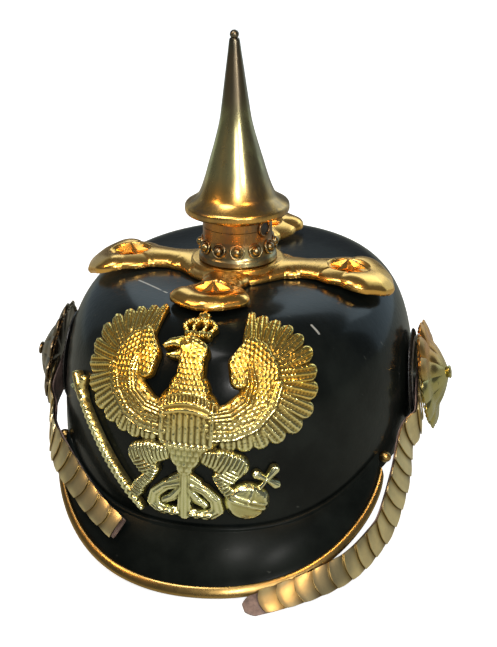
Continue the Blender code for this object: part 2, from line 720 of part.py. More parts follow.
def stations(count, end):
    # Shares along a visor, closer together towards its corners
    return [end * sin(pi / 2 * (2 * i / (count - 1) - 1)) for i in range(count)]


def build_visor(name, visor, edge_inset, level_edge):
    outer, inner = [], []
    for t in stations(VISOR_STATIONS, VISOR_END):
        length = (visor.edge(t) - visor.seam(t)).length
        normal = visor.normal(t)
        straight = visor.straight_from(t)
        thick = LEATHER * min(1, 0.3 + 1.2 * corner_share(t, CORNER_REACH_POWER))
        end = 1 - edge_inset / length
        # Where the inner face meets the upright line under the seam
        under = thick * hypot(normal.x, normal.y) / normal.z / length
        seam = visor.seam(t)
        out_row, in_row = [seam], [seam - Vector((0, 0, thick / normal.z))]
        for v in (straight / 3, straight * 2 / 3, straight, end):
            out_row.append(visor.point(t, v))
            in_row.append(visor.point(t, under + (end - under) * v / end) - normal * thick)
        if level_edge:
            low = out_row[-1]
            if low.z < FOOT_FLAT:
                low.z = 0.0
            flat = Vector((normal.x, normal.y, 0))
            in_row[-1] = low - flat.normalized() * (LEATHER / max(flat.length, 0.3))
            in_row[-1].z = low.z
        outer.append(out_row)
        inner.append(in_row)
    sections = [out_row + in_row[::-1] for out_row, in_row in zip(outer, inner)]
    vertices, faces = swept(sections)
    return add_object(name, vertices, faces, BLACK_LEATHER, 0.22, 0.0)


def build_peak_trim():
    rings = []
    for t in stations(TRIM_STATIONS, TRIM_END):
        edge = PEAK.edge(t)
        up = (PEAK.seam(t) - edge).normalized()
        normal = PEAK.normal(t)
        rings.append([edge + up * a + normal * b for a, b in trim_section()])
    add_object("peak_trim", *swept(rings), BRASS, 0.25)
    for side, name in ((-1, "trim_stud_left"), (1, "trim_stud_right")):
        angle = side * (PEAK_HALF_ANGLE + (TRIM_STUD_RADIUS + 2 * GAP) / SKULL_HALF_WIDTH)
        r = TRIM_STUD_RADIUS
        profile = [(0, 0)] + shares(STUD_DOME, r, r) + [(0, 1.8 * r)]
        stud = add_object(name, *turned(profile, 12), BRASS, 0.25)
        seat = skull_point(angle, seam_height(angle) - 2 * r) + outward(angle) * GAP
        place(stud, seat, outward(angle))


def surface_normal(x, y):
    # Upward normal of the skull's top at a point in plan
    step = 0.0005
    dx = top_height(x + step, y) - top_height(x - step, y)
    dy = top_height(x, y + step) - top_height(x, y - step)
    return Vector((-dx, -dy, 2 * step)).normalized()


def cross_plan(x, y):
    # Place on the skull of a point of the cross, which is turned about the spike
    return (x * cos(CROSS_TURN) + y * sin(CROSS_TURN),
            y * cos(CROSS_TURN) - x * sin(CROSS_TURN) - SPIKE_FORWARD)


def crown_seat(x, y, h):
    # Point h above the back of the cross on the skull's top; (x, y) from the spike
    share = max(hypot(x, y) - CROSS_HUB_RADIUS, 0) / (CROSS_RADIUS - CROSS_HUB_RADIUS)
    lift = PLATE_STANDOFF + CROSS_FLOAT * share ** CROSS_FLOAT_POWER
    x, y = cross_plan(x, y)
    return Vector((x, y, top_height(x, y))) + surface_normal(x, y) * (lift + h)


def crown_tilt(x, y):
    # Upward normal of the cross, whose arms rise off the skull
    step = 0.0005
    along = crown_seat(x + step, y, 0) - crown_seat(x - step, y, 0)
    return along.cross(crown_seat(x, y + step, 0) - crown_seat(x, y - step, 0)).normalized()


def cross_arm(name, reach, ahead, aside, mirrored=False):
    # One arm along the ahead direction: root, waist and paddle, then its blunt end
    half = CROSS_PADDLE_HALF
    circles = [(arm.reach * reach, 0, arm.waist * CROSS_WAIST_HALF + arm.paddle * half) for arm in CROSS_ARM]
    circles.append((reach - CROSS_END_RADIUS * half, 0, CROSS_END_RADIUS * half))
    ends = [(reach - end.back * half, end.across * half, end.radius * half) for end in CROSS_END]
    return tuple(Stroke(name + word, mirrored, 0.0, 1.0,
                        tuple((a * ahead[0] + b * aside[0], a * ahead[1] + b * aside[1], r) for a, b, r in rows))
                 for word, rows in (("_arm", circles), ("_end", ends)))


def cross_strokes():
    hub = ((0, 0, CROSS_HUB_FOOT), (0.0001, 0, CROSS_HUB_FOOT))
    return ((Stroke("hub", False, 0.0, 1.0, hub),)
            + cross_arm("side", CROSS_RADIUS, (1, 0), (0, 1), True)
            + cross_arm("front", CROSS_FRONT_SHARE * CROSS_RADIUS, (0, -1), (1, 0))
            + cross_arm("back", CROSS_BACK_SHARE * CROSS_RADIUS, (0, 1), (1, 0)))


def star_seats():
    side, front, back = (share * CROSS_RADIUS - CROSS_PADDLE_HALF
                         for share in (1, CROSS_FRONT_SHARE, CROSS_BACK_SHARE))
    return (("front", 0, -front), ("back", 0, back), ("left", -side, 0), ("right", side, 0))


def cross_height(x, y, relief):
    # The hub is level under the spike's collar, and each paddle has a round seat
    if hypot(x, y) < CROSS_HUB_RADIUS + GAP:
        return CROSS_HUB_THICKNESS
    if any(hypot(x - sx, y - sy) < STAR_SEAT_RADIUS + GAP for _, sx, sy in star_seats()):
        return CROSS_EDGE + CROSS_SWELL - STAR_SEAT_DEPTH
    return CROSS_EDGE + CROSS_SWELL * relief


def build_cross():
    creases = [(0, 0, CROSS_HUB_RADIUS), (0, 0, CROSS_HUB_RADIUS + STAR_SEAT_WALL)]
    for _, x, y in star_seats():
        creases += [(x, y, STAR_SEAT_RADIUS), (x, y, STAR_SEAT_RADIUS + STAR_SEAT_WALL)]
    vertices, faces = relief_plate(cross_strokes(), CROSS_MESH, crown_seat, cross_height, creases)
    add_object("top_cross", vertices, faces, BRASS, 0.22)
    for side, x, y in star_seats():
        floor = CROSS_EDGE + CROSS_SWELL - STAR_SEAT_DEPTH
        profile = [(0, 0)] + shares(STAR_SLOPE, STAR_RADIUS, STAR_HEIGHT) + [(0, STAR_HEIGHT)]
        vertices, faces = turned(profile, 2 * STAR_POINTS, lobes=STAR_POINTS, lobe_depth=STAR_NOTCH)
        star = add_object("arm_star_" + side, vertices, faces, BRASS, 0.25, sharp=20)
        seat = crown_seat(x, y, floor + GAP)
        place(star, seat, crown_tilt(x, y))


def build_spike():
    base = Vector((0, -SPIKE_FORWARD, skull_top() + PLATE_STANDOFF + CROSS_HUB_THICKNESS + GAP))
    foot, neck, top = COLLAR_FOOT_RADIUS, COLLAR_NECK_RADIUS, COLLAR_HEIGHT
    profile = [(0, 0)] + shares(COLLAR_FLARE, foot, top) + [(neck, 0.76 * top), (neck, top), (0, top)]
    collar = add_object("spike_collar", *turned(profile, SPIKE_SEGMENTS, base), BRASS, 0.25)
    # Pearls are soldered to the collar's flare, so they are joined to it
    ring = base + Vector((0, 0, PEARL_LEVEL * top))
    for k in range(PEARL_COUNT):
        a = 2 * pi * k / PEARL_COUNT + PEARL_TURN
        centre = ring + Vector((sin(a), -cos(a), 0)) * (PEARL_RING * foot)
        r = PEARL_RADIUS
        profile = [(0, -r)] + shares(PEARL_ROUND, r, r) + [(0, r)]
        pearl = add_object("pearl_cutter_%d" % k, *turned(profile, 8, centre), BRASS, 0.2)
        pearl.hide_render = True
        pearl.display_type = "WIRE"
        union = collar.modifiers.new("pearl_%d" % k, "BOOLEAN")
        union.operation = "UNION"
        union.solver = "EXACT"
        union.object = pearl
    seat = top + GAP
    flange = SPIKE_FLANGE_RADIUS
    level = SPIKE_FLANGE_HEIGHT - (base.z - skull_top())
    tip = SPIKE_HEIGHT - (base.z - skull_top())
    rise = tip - level
    profile = [(0, seat), (neck, seat), (1.04 * neck, seat + 0.25 * (level - seat))]
    profile += [(flange, level - SPIKE_FLANGE_RIM), (flange, level), (0.97 * flange, level + 0.02 * rise)]
    profile += shares(SPIKE_TAPER, SPIKE_SHOULDER_RADIUS, rise, level)
    profile += shares(SPIKE_KNOB, SPIKE_TIP_RADIUS, rise, level) + [(0, tip)]
    add_object("spike", *turned(profile, SPIKE_SEGMENTS, base), BRASS, 0.2)


def eagle_frame():
    # Arc lengths up the front profile and across the section, for unrolling
    quarter = np.linspace(0, pi / 2, UNROLL_STEPS)
    heights = CROWN_HEIGHT * np.sin(quarter) ** (2 / TOP_FULLNESS)
    inward = SKULL_HALF_LENGTH * (1 - np.cos(quarter) ** (2 / SIDE_FULLNESS))
    up = np.concatenate([[0], np.cumsum(np.hypot(np.diff(heights), np.diff(inward)))])
    section = np.array([section_unit(a) for a in quarter]) * (SKULL_HALF_WIDTH, SKULL_HALF_LENGTH)
    across = np.concatenate([[0], np.cumsum(np.hypot(*np.diff(section, axis=0).T))])
    return up, heights, across, quarter


def build_eagle():
    up, heights, across, angles = eagle_frame()
    unit_x = EAGLE_SPAN / EAGLE_DRAWING_SPAN
    unit_y = EAGLE_HEIGHT / EAGLE_DRAWING_HEIGHT
    middle = EAGLE_HEIGHT / 2

    def unrolled(x, y):
        # Skull point for a point of the drawing, after the plate's tilt and shift
        u, w = x * unit_x, y * unit_y - middle
        u, w = u * cos(EAGLE_TILT) - w * sin(EAGLE_TILT), u * sin(EAGLE_TILT) + w * cos(EAGLE_TILT) + middle
        u += EAGLE_OFFSET
        z = SEAM_HEIGHT + float(np.interp(w, up, heights))
        angle = float(np.interp(abs(u) / skull_scale(z), across, angles))
        return skull_point(angle if u > 0 else -angle, z)

    def seat(x, y, h):
        step = 0.2
        along = unrolled(x + step, y) - unrolled(x - step, y)
        up_skull = unrolled(x, y + step) - unrolled(x, y - step)
        return unrolled(x, y) + along.cross(up_skull).normalized() * (EAGLE_STANDOFF + h)

    def height(x, y, relief):
        return EAGLE_EDGE + EAGLE_RELIEF * relief

    add_object("eagle_plate", *relief_plate(EAGLE_STROKES, EAGLE_MESH, seat, height), BRASS, 0.3)


def side_frame(side):
    # Seat of the cockade: a point on the skull's side and the normal there
    angle = side * (pi / 2 - SIDE_STACK_FORWARD / SKULL_HALF_LENGTH)
    step = 0.002
    rise = skull_point(angle, SIDE_STACK_HEIGHT + step) - skull_point(angle, SIDE_STACK_HEIGHT - step)
    normal = Vector((outward(angle).x, outward(angle).y, 0))
    normal = (normal - rise * (normal.dot(rise) / rise.dot(rise))).normalized()
    return skull_point(angle, SIDE_STACK_HEIGHT), normal


def strap_level():
    # Height of the strap's inner face above the cockade's seat
    return COCKADE_THICKNESS + COCKADE_RING_THICKNESS + 3 * GAP + PLATE_STANDOFF


def build_cockade(side, word):
    seat, normal = side_frame(side)
    radius, thick = COCKADE_RADIUS, COCKADE_THICKNESS
    profile = [(0, 0), (radius, 0), (radius, 0.7 * thick), (0.94 * radius, thick), (0, thick)]
    disc = add_object("cockade_" + word, *turned(profile, COCKADE_SEGMENTS), COCKADE_BLACK, 0.45, 0.0)
    place(disc, seat + normal * PLATE_STANDOFF, normal)
    half, thick = COCKADE_RING_WIDTH / 2, COCKADE_RING_THICKNESS
    section = ((-half, 0), (half, 0), (half, 0.6 * thick), (0, thick), (-half, 0.6 * thick))
    vertices = []
    for i in range(COCKADE_SEGMENTS):
        a = 2 * pi * i / COCKADE_SEGMENTS
        for across, z in section:
            r = COCKADE_RING_RADIUS + across
            vertices.append(Vector((r * cos(a), r * sin(a), z)))
    sides = len(section)
    last = len(vertices) - sides
    faces = ring_faces(COCKADE_SEGMENTS, sides)
    faces += [(last + i, last + (i + 1) % sides, (i + 1) % sides, i) for i in range(sides)]
    ring = add_object("cockade_ring_" + word, vertices, faces, SILVER, 0.3)
    place(ring, seat + normal * (PLATE_STANDOFF + COCKADE_THICKNESS + GAP), normal)
    back = strap_level() + STRAP_THICKNESS + GAP + ROSETTE_SEAT
    depth, knob = ROSETTE_DEPTH, ROSETTE_KNOB
    profile = [(0, 0)] + shares(ROSETTE_CONE, ROSETTE_RADIUS, depth)
    profile += [(knob, 0.84 * depth), (knob, 0.96 * depth), (0.7 * knob, depth), (0, depth)]
    vertices, faces = turned(profile, 2 * ROSETTE_LOBES, lobes=ROSETTE_LOBES, lobe_depth=ROSETTE_NOTCH)
    boss = add_object("rosette_" + word, vertices, faces, BRASS, 0.28)
    tilted = Matrix.Rotation(-side * ROSETTE_TILT, 3, "Y") @ normal
    place(boss, seat + normal * back, tilted)


def route_stop(stop, side):
    # Position and outward normal of one stop
    if stop.over == "skull":
        angle = side * radians(stop.along)
        out = outward(angle)
        p = skull_point(angle, stop.across * SIDE_STACK_HEIGHT) + out * stop.out
    elif stop.over == "peak":
        return PEAK.point(side * stop.along, stop.across, stop.out), PEAK.normal(side * stop.along)
    else:
        out = outward(PEAK.angle(side * stop.along))
        p = PEAK.edge(side * stop.along) + out * stop.out
        p.z = stop.across * STRAP_END_WIDTH
    lean = radians(stop.lean)
    return p, (out * cos(lean) + Vector((0, 0, 1)) * sin(lean)).normalized()


def smooth_route(side, route):
    # Even stops along a smooth curve through the rosette's centre and the route
    seat, normal = side_frame(side)
    first = seat + normal * (strap_level() + STRAP_THICKNESS + GAP + SCALE_THICKNESS)
    stops = [route_stop(stop, side) for stop in route]
    away = (stops[0][0] - first)
    away = (away - normal * away.dot(normal)).normalized()
    lead = [(first + away * (share * ROSETTE_RADIUS), normal) for share in (0, 0.55, 1.1)]
    points = lead + stops
    p = np.array([tuple(q) for q, n in points])
    n = np.array([tuple(m) for q, m in points])
    p = np.vstack([2 * p[0] - p[1], p, 2 * p[-1] - p[-2]])
    n = np.vstack([n[0], n, n[-1]])
    fine_p, fine_n = [], []
    for k in range(1, len(p) - 2):
        for t in np.linspace(0, 1, ROUTE_STEPS, endpoint=False):
            # Catmull-Rom weights of the four stops around
            before, here = -t + 2 * t * t - t ** 3, 2 - 5 * t * t + 3 * t ** 3
            after, beyond = t + 4 * t * t - 3 * t ** 3, -t * t + t ** 3
            fine_p.append(np.array([before, here, after, beyond]) / 2 @ p[k - 1:k + 3])
            fine_n.append((1 - t) * n[k] + t * n[k + 1])
    fine_p.append(p[-2])
    fine_n.append(n[-2])
    fine_p, fine_n = np.array(fine_p), np.array(fine_n)
    run = np.concatenate([[0], np.cumsum(np.linalg.norm(np.diff(fine_p, axis=0), axis=1))])

    def read(s, values):
        return Vector([float(np.interp(s, run, values[:, k])) for k in range(3)])

    def at(s):
        ahead = (read(s + SCALE_THICKNESS, fine_p) - read(s - SCALE_THICKNESS, fine_p)).normalized()
        m = read(s, fine_n)
        m = (m - ahead * m.dot(ahead)).normalized()
        return read(s, fine_p), m, ahead.cross(m)
    return at, float(run[-1])


def strap_width(s, length):
    share = min(s / length, 1.0)
    return STRAP_END_WIDTH + (STRAP_ROOT_WIDTH - STRAP_END_WIDTH) * (1 - share) ** 1.6


def build_strap(side, word, route, tab):
    at, length = smooth_route(side, route)
    scales_end = length - tab
    count = int((scales_end - SCALES_START) // SCALE_PITCH)
    pitch = (scales_end - SCALES_START) / count
    # Scales: each rises from a thin root under its neighbour to a free end
    roots = [SCALES_START + k * pitch for k in range(count + 1)]
    section = ((-1, 0), (1, 0), (1, 0.5), (0.5, 0.92), (0, 1), (-0.5, 0.92), (-1, 0.5))
    rings = []
    for root, free_end in zip(roots, roots[1:]):
        for s, share in ((root + SCALE_DROP, SCALE_STEP), (free_end - SCALE_DROP, 1.0)):
            q, normal, across = at(s)
            half = strap_width(s, length) / 2
            rings.append([q + across * (a * half) + normal * ((b * share - 1) * SCALE_THICKNESS)
                          for a, b in section])
    add_object("chin_scales_" + word, *swept(rings), PALE_BRASS, 0.35, sharp=25)
    # Leather backing under the scales, a little narrower
    rings = []
    end = [scales_end + 0.6 * tab, length] if tab else []
    for s in [0] + roots + end:
        q, normal, across = at(s)
        half = STRAP_SHARE * strap_width(s, length) / 2 * (0.7 if s == length else 1)
        rings.append([q + across * (a * half) - normal * (SCALE_THICKNESS + GAP + b * STRAP_THICKNESS)
                      for a, b in ((-1, 0), (1, 0), (1, 1), (-1, 1))])
    add_object("chin_strap_" + word, *swept(rings), STRAP_LEATHER, 0.6, 0.0)


def settle():
    # Moves the helmet so that its box is centred on the origin
    low, high = [1e9] * 2, [-1e9] * 2
    shown = [obj for obj in bpy.context.scene.objects if obj.type == "MESH" and not obj.hide_render]
    bpy.context.view_layer.update()
    for obj in shown:
        for v in obj.data.vertices:
            p = obj.matrix_world @ v.co
            for k in range(2):
                low[k] = min(low[k], p[k])
                high[k] = max(high[k], p[k])
    shift = Matrix.Translation((-(low[0] + high[0]) / 2, -(low[1] + high[1]) / 2, 0))
    for obj in bpy.context.scene.objects:
        obj.matrix_world = shift @ obj.matrix_world


def main():
    for obj in list(bpy.data.objects):
        bpy.data.objects.remove(obj, do_unlink=True)
    build_skull()
    build_visor("front_peak", PEAK, TRIM_WALL + GAP, False)
    build_visor("neck_guard", GUARD, 0.0, True)
    build_peak_trim()
    build_cross()
    build_spike()
    build_eagle()
    for side, word, route, tab in ((-1, "left", LEFT_ROUTE, 0.0), (1, "right", RIGHT_ROUTE, STRAP_TAB)):
        build_cockade(side, word)
        build_strap(side, word, route, tab)
    settle()


main()
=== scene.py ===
# Dragoon helmet, dressed for its picture: lacquered leather, brass fittings,
# an eagle plate in relief and chin scales on leather straps.
from math import cos, pi, radians, sin

import bpy
import numpy as np
from mathutils import Matrix, Vector


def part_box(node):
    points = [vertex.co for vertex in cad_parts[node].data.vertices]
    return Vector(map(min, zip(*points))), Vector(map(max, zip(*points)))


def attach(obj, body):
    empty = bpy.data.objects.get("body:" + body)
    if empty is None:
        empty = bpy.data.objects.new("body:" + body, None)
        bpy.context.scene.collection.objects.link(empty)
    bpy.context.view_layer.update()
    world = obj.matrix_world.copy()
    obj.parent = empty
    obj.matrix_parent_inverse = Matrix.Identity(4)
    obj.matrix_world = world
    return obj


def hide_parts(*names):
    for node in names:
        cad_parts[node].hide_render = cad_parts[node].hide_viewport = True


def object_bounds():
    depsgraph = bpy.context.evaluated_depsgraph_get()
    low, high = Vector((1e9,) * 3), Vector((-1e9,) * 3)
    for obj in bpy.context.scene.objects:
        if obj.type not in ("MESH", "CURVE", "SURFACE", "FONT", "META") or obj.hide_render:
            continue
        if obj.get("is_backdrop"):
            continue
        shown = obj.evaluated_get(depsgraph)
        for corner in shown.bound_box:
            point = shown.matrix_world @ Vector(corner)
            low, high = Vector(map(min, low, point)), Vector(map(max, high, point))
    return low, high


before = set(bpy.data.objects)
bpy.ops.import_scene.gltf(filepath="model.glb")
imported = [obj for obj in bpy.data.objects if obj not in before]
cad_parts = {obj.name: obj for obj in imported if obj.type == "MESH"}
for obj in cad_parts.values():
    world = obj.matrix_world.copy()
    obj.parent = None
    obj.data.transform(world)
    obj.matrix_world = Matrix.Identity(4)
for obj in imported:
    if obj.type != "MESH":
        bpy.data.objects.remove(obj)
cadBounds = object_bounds()
print("frame loaded")


# Mesh building

def unit(v):
    # Vectors divided by their lengths
    return v / np.maximum(np.linalg.norm(v, axis=-1, keepdims=True), 1e-12)


def stack(x, y, z):
    # Arrays of coordinates joined into an array of points
    return np.stack(np.broadcast_arrays(x, y, z), axis=-1).astype(float)


def gridFaces(rows, cols, wrapCols=False, wrapRows=False, first=0):
    # Quads between neighbouring points of a grid whose rows follow each other
    r = np.arange(rows if wrapRows else rows - 1)[:, None]
    c = np.arange(cols if wrapCols else cols - 1)[None, :]
    down, right = (r + 1) % rows, (c + 1) % cols
    corners = (r * cols + c, r * cols + right, down * cols + right, down * cols + c)
    return np.stack([k.ravel() for k in np.broadcast_arrays(*corners)], axis=-1) + first


def fanFaces(ring, centre, flip=False):
    # Triangles from a closed ring of indices to one point
    after = np.roll(ring, -1)
    fan = np.stack([ring, after, np.full(len(ring), centre)], axis=-1)
    return fan[:, ::-1] if flip else fan


def sweepShape(sections):
    # Closed skin through equal sections, each end shut by a fan to its middle
    rows, cols = sections.shape[:2]
    points = np.vstack([sections.reshape(-1, 3), sections[0].mean(0), sections[-1].mean(0)])
    count = rows * cols
    ends = np.arange(cols)
    return points, [gridFaces(rows, cols, True), np.vstack([
        fanFaces(ends, count, True), fanFaces(ends + count - cols, count + 1)])]


def turnShape(profile, segments, wave=None):
    # Profile (radius, height) turned about z; wave(angle, radius) scales the radius
    profile = np.asarray(profile, float)
    angle = np.linspace(0, 2 * pi, segments, endpoint=False)[None, :]
    radius, height = profile[1:-1, :1], profile[1:-1, 1:]
    scale = wave(angle, radius) if wave else np.ones_like(radius * angle)
    rings = stack(radius * scale * np.cos(angle), radius * scale * np.sin(angle), height)
    rows = len(profile) - 2
    points = np.vstack([rings.reshape(-1, 3), [[0, 0, profile[0, 1]], [0, 0, profile[-1, 1]]]])
    count = rows * segments
    ends = np.arange(segments)
    return points, [gridFaces(rows, segments, True), np.vstack([
        fanFaces(ends, count, True), fanFaces(ends + count - segments, count + 1)])]


def standAt(points, origin, axis):
    # Points built about +z, turned so that z lies along the axis, then moved
    turn = np.array(Vector((0, 0, 1)).rotation_difference(Vector(axis)).to_matrix())
    return points @ turn.T + np.asarray(origin)


def joinShapes(shapes):
    # One set of points and faces from several
    points, faces, count = [], [], 0
    for shapePoints, shapeFaces in shapes:
        points.append(shapePoints)
        faces += [f + count for f in shapeFaces]
        count += len(shapePoints)
    return np.vstack(points), faces


def signedVolume(points, faces):
    # Sum of the tetrahedra from the origin to each face's triangles
    total = 0.0
    for f in faces:
        a = points[f[:, 0]]
        for k in range(1, f.shape[1] - 1):
            total += np.einsum("ij,ij->i", a, np.cross(points[f[:, k]], points[f[:, k + 1]])).sum()
    return total / 6


def makePiece(name, points, faces, finishes, nodes, sharp=180, finishOf=None, fields=None):
    # Mesh object from arrays, its faces turned round where its volume is negative; finishOf gives each
    # face's material and fields each point's attributes
    if signedVolume(points - points.mean(0), faces) < 0:
        faces = [f[:, ::-1] for f in faces]
    mesh = bpy.data.meshes.new(name)
    corners = np.concatenate([f.ravel() for f in faces])
    sizes = np.concatenate([np.full(len(f), f.shape[1]) for f in faces])
    mesh.vertices.add(len(points))
    mesh.vertices.foreach_set("co", points.ravel())
    mesh.loops.add(len(corners))
    mesh.loops.foreach_set("vertex_index", corners.astype(np.int32))
    mesh.polygons.add(len(sizes))
    mesh.polygons.foreach_set("loop_start", np.concatenate([[0], np.cumsum(sizes)[:-1]]).astype(np.int32))
    if finishOf is not None:
        mesh.polygons.foreach_set("material_index", np.asarray(finishOf, np.int32))
    mesh.update(calc_edges=True)
    mesh.shade_smooth()
    if sharp < 180:
        mesh.set_sharp_from_angle(angle=radians(sharp))
    for label, values in (fields or {}).items():
        layer = mesh.attributes.new(label, "FLOAT", "POINT")
        layer.data.foreach_set("value", np.asarray(values, np.float32))
    for finish in finishes if isinstance(finishes, (list, tuple)) else [finishes]:
        mesh.materials.append(finish)
    piece = bpy.data.objects.new(name, mesh)
    bpy.context.scene.collection.objects.link(piece)
    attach(piece, "root")
    if nodes:
        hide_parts(*nodes)
    triangles = sum(len(f) * (f.shape[1] - 2) for f in faces)
    print("made", name, triangles, "triangles")


# Materials

class Wire:
    # A shader socket on which the usual operators add Math nodes
    def __init__(self, shade, socket):
        self.shade = shade
        self.socket = socket

    def math(self, operation, other, flipped=False):
        values = [other, self] if flipped else [self, other]
        return self.shade.add("ShaderNodeMath", dict(operation=operation), dict(enumerate(values)))

    def __add__(self, other):
        return self.math("ADD", other)

    def __radd__(self, other):
        return self.math("ADD", other)

    def __sub__(self, other):
        return self.math("SUBTRACT", other)

    def __rsub__(self, other):
        return self.math("SUBTRACT", other, flipped=True)

    def __mul__(self, other):
        return self.math("MULTIPLY", other)

    def __rmul__(self, other):
        return self.math("MULTIPLY", other)

    def __truediv__(self, other):
        return self.math("DIVIDE", other)

    def __pow__(self, other):
        return self.math("POWER", other)

    def clip(self):
        return self.math("MAXIMUM", 0.0).math("MINIMUM", 1.0)

    def step(self, low, high):
        # Smooth step from 0 at low to 1 at high
        values = {"Value": self, "From Min": low, "From Max": high}
        return self.shade.add("ShaderNodeMapRange", dict(interpolation_type="SMOOTHSTEP"), values)


class Shade:
    # The node tree of one material
    def __init__(self, name, **constants):
        self.material = bpy.data.materials.new(name)
        self.material.use_nodes = True
        self.tree = self.material.node_tree
        self.surface = self.tree.nodes["Principled BSDF"]
        for key, value in constants.items():
            self.surface.inputs[key.replace("_", " ")].default_value = value

    def add(self, kind, settings=None, values=None, out=0):
        # Any node: its settings first, then values or links of its sockets
        node = self.tree.nodes.new(kind)
        for key, value in (settings or {}).items():
            setattr(node, key, value)
        for key, value in (values or {}).items():
            self.plug(node.inputs[key], value)
        return Wire(self, node.outputs[out])

    def plug(self, socket, value):
        # A link from a wire, or else a fixed value
        if isinstance(value, Wire):
            self.tree.links.new(value.socket, socket)
        else:
            socket.default_value = value

    def place(self, scale=(1, 1, 1)):
        # Object coordinates in metres, stretched by the scale
        where = self.add("ShaderNodeTexCoord", out=3)
        return self.add("ShaderNodeMapping", None, {"Vector": where, "Scale": scale})

    def axis(self, k):
        # One of the piece's own coordinates in metres: 0 is x, 1 is y, 2 is z
        return self.add("ShaderNodeSeparateXYZ", None, {"Vector": self.place()}, k)

    def height(self, low, high):
        # Smooth step up the piece
        return self.axis(2).step(low, high)

    def line(self, start, end, width):
        # Thin mark seen from above, from the distance in plan to the nearest point between its ends
        core = 0.4                                      # share of the width that is full
        reach = Vector(end) - Vector(start)
        ahead = reach.normalized()
        away = [self.axis(k) - start[k] for k in range(2)]
        along = (sum(d * ahead[k] for k, d in enumerate(away)) / reach.length).clip()
        square = sum((d - along * reach[k]) ** 2 for k, d in enumerate(away))
        return 1 - square.step((core * width) ** 2, width ** 2)

    def noise(self, scale, detail=3.0, roughness=0.5, where=None, distortion=0.0):
        # Soft clouds from 0 to 1
        values = {"Vector": where or self.place(), "Scale": scale, "Detail": detail,
                  "Roughness": roughness, "Distortion": distortion}
        return self.add("ShaderNodeTexNoise", None, values)

    def cells(self, scale, feature="F1"):
        # Distance to scattered points, for grain and pores
        values = {"Vector": self.place(), "Scale": scale}
        return self.add("ShaderNodeTexVoronoi", dict(feature=feature), values)

    def field(self, label):
        # A value stored on the piece's own points
        return self.add("ShaderNodeAttribute", dict(attribute_name=label), None, 2)

    def blend(self, share, first, second):
        # Colours mixed by a share; 6, 7 and 2 are the node's colour sockets
        return self.add("ShaderNodeMix", dict(data_type="RGBA"), {0: share, 6: first, 7: second}, 2)

    def finish(self, colour, roughness=None, bumps=()):
        # The material; bumps are (height, strength, distance), one on top of the other
        self.plug(self.surface.inputs["Base Color"], colour)
        if roughness is not None:
            self.plug(self.surface.inputs["Roughness"], roughness)
        normal = None
        for height, strength, distance in bumps:
            values = {"Height": height, "Strength": strength, "Distance": distance}
            if normal:
                values["Normal"] = normal
            normal = self.add("ShaderNodeBump", None, values)
        if normal:
            self.plug(self.surface.inputs["Normal"], normal)
        return self.material


def rgb(red, green, blue):
    # Colour in linear light, opaque
    return (red, green, blue, 1.0)


def lacquerFinish(name, coat, dull, gloss, scratches=()):
    # Black varnish over leather: fine grain, soft cloudy gloss, worn and scuffed spots, thin scratches
    look = dict(deep=rgb(0.0030, 0.0042, 0.0040), lifted=rgb(0.011, 0.014, 0.013),
                scuff=rgb(0.13, 0.14, 0.13), scratch=rgb(0.36, 0.38, 0.37))
    shade = Shade(name, Coat_Weight=coat, Coat_Roughness=dull, IOR=1.45, Specular_IOR_Level=gloss)
    cloud = shade.noise(22, 5, 0.6)
    mottle = shade.noise(130, 4, 0.6)
    spots = shade.noise(95, 3, 0.55, distortion=0.6).step(0.70, 0.76)
    scratch = shade.noise(60, 6, 0.7, shade.place((1, 1, 7))).step(0.69, 0.74) * 0.5
    worn = (spots + scratch).clip()
    colour = shade.blend(cloud.step(0.35, 0.75), look["deep"], look["lifted"])
    colour = shade.blend(worn * 0.35, colour, look["scuff"])
    for start, end, width in scratches:
        mark = shade.line(start, end, width) * mottle.step(0.30, 0.55) * 0.9
        colour = shade.blend(mark, colour, look["scratch"])
    roughness = 0.20 + cloud * 0.16 + mottle * 0.06 + worn * 0.2
    grain = shade.cells(620, "SMOOTH_F1") + shade.noise(900, 3) * 0.5
    return shade.finish(colour, roughness, ((cloud, 0.25, 0.0035), (grain, 0.10, 0.0004)))


def rawLeatherFinish():
    # The unvarnished inner side: brown, matt, with pores
    shade = Shade("rawLeather")
    cloud = shade.noise(30, 5, 0.6)
    pores = shade.cells(900)
    colour = shade.blend(cloud.step(0.3, 0.7), rgb(0.060, 0.034, 0.018), rgb(0.13, 0.078, 0.042))
    return shade.finish(colour, 0.62 + cloud * 0.2, ((pores, 0.35, 0.0005),))


def brassFinish(name, bright, dull, low, high, marks=1.0, upper=None):
    # Polished sheet brass: warm and cool patches, fine rubbing marks and small pits, and painted warm light above
    # if told
    shade = Shade(name, Metallic=1.0)
    if upper:
        # painted warm light: redder from the first height up to the second, on the rosette's upper part
        bright = shade.blend(shade.height(0.074, 0.092), bright, upper)
    patch = shade.noise(38, 5, 0.62)
    rub = shade.noise(420, 4, 0.6, shade.place((1, 1, 0.25)))
    pits = shade.noise(330, 2).step(0.70, 0.78)
    dark = (patch.step(0.42, 0.78) * 0.75 + pits * 0.5).clip()
    colour = shade.blend(dark, bright, dull)
    roughness = low + (high - low) * patch.step(0.3, 0.8) + rub * 0.06 * marks + pits * 0.12
    waves = shade.noise(55, 2)
    return shade.finish(colour, roughness, ((waves, 0.22, 0.0012 * marks), (rub, 0.08, 0.0002)))


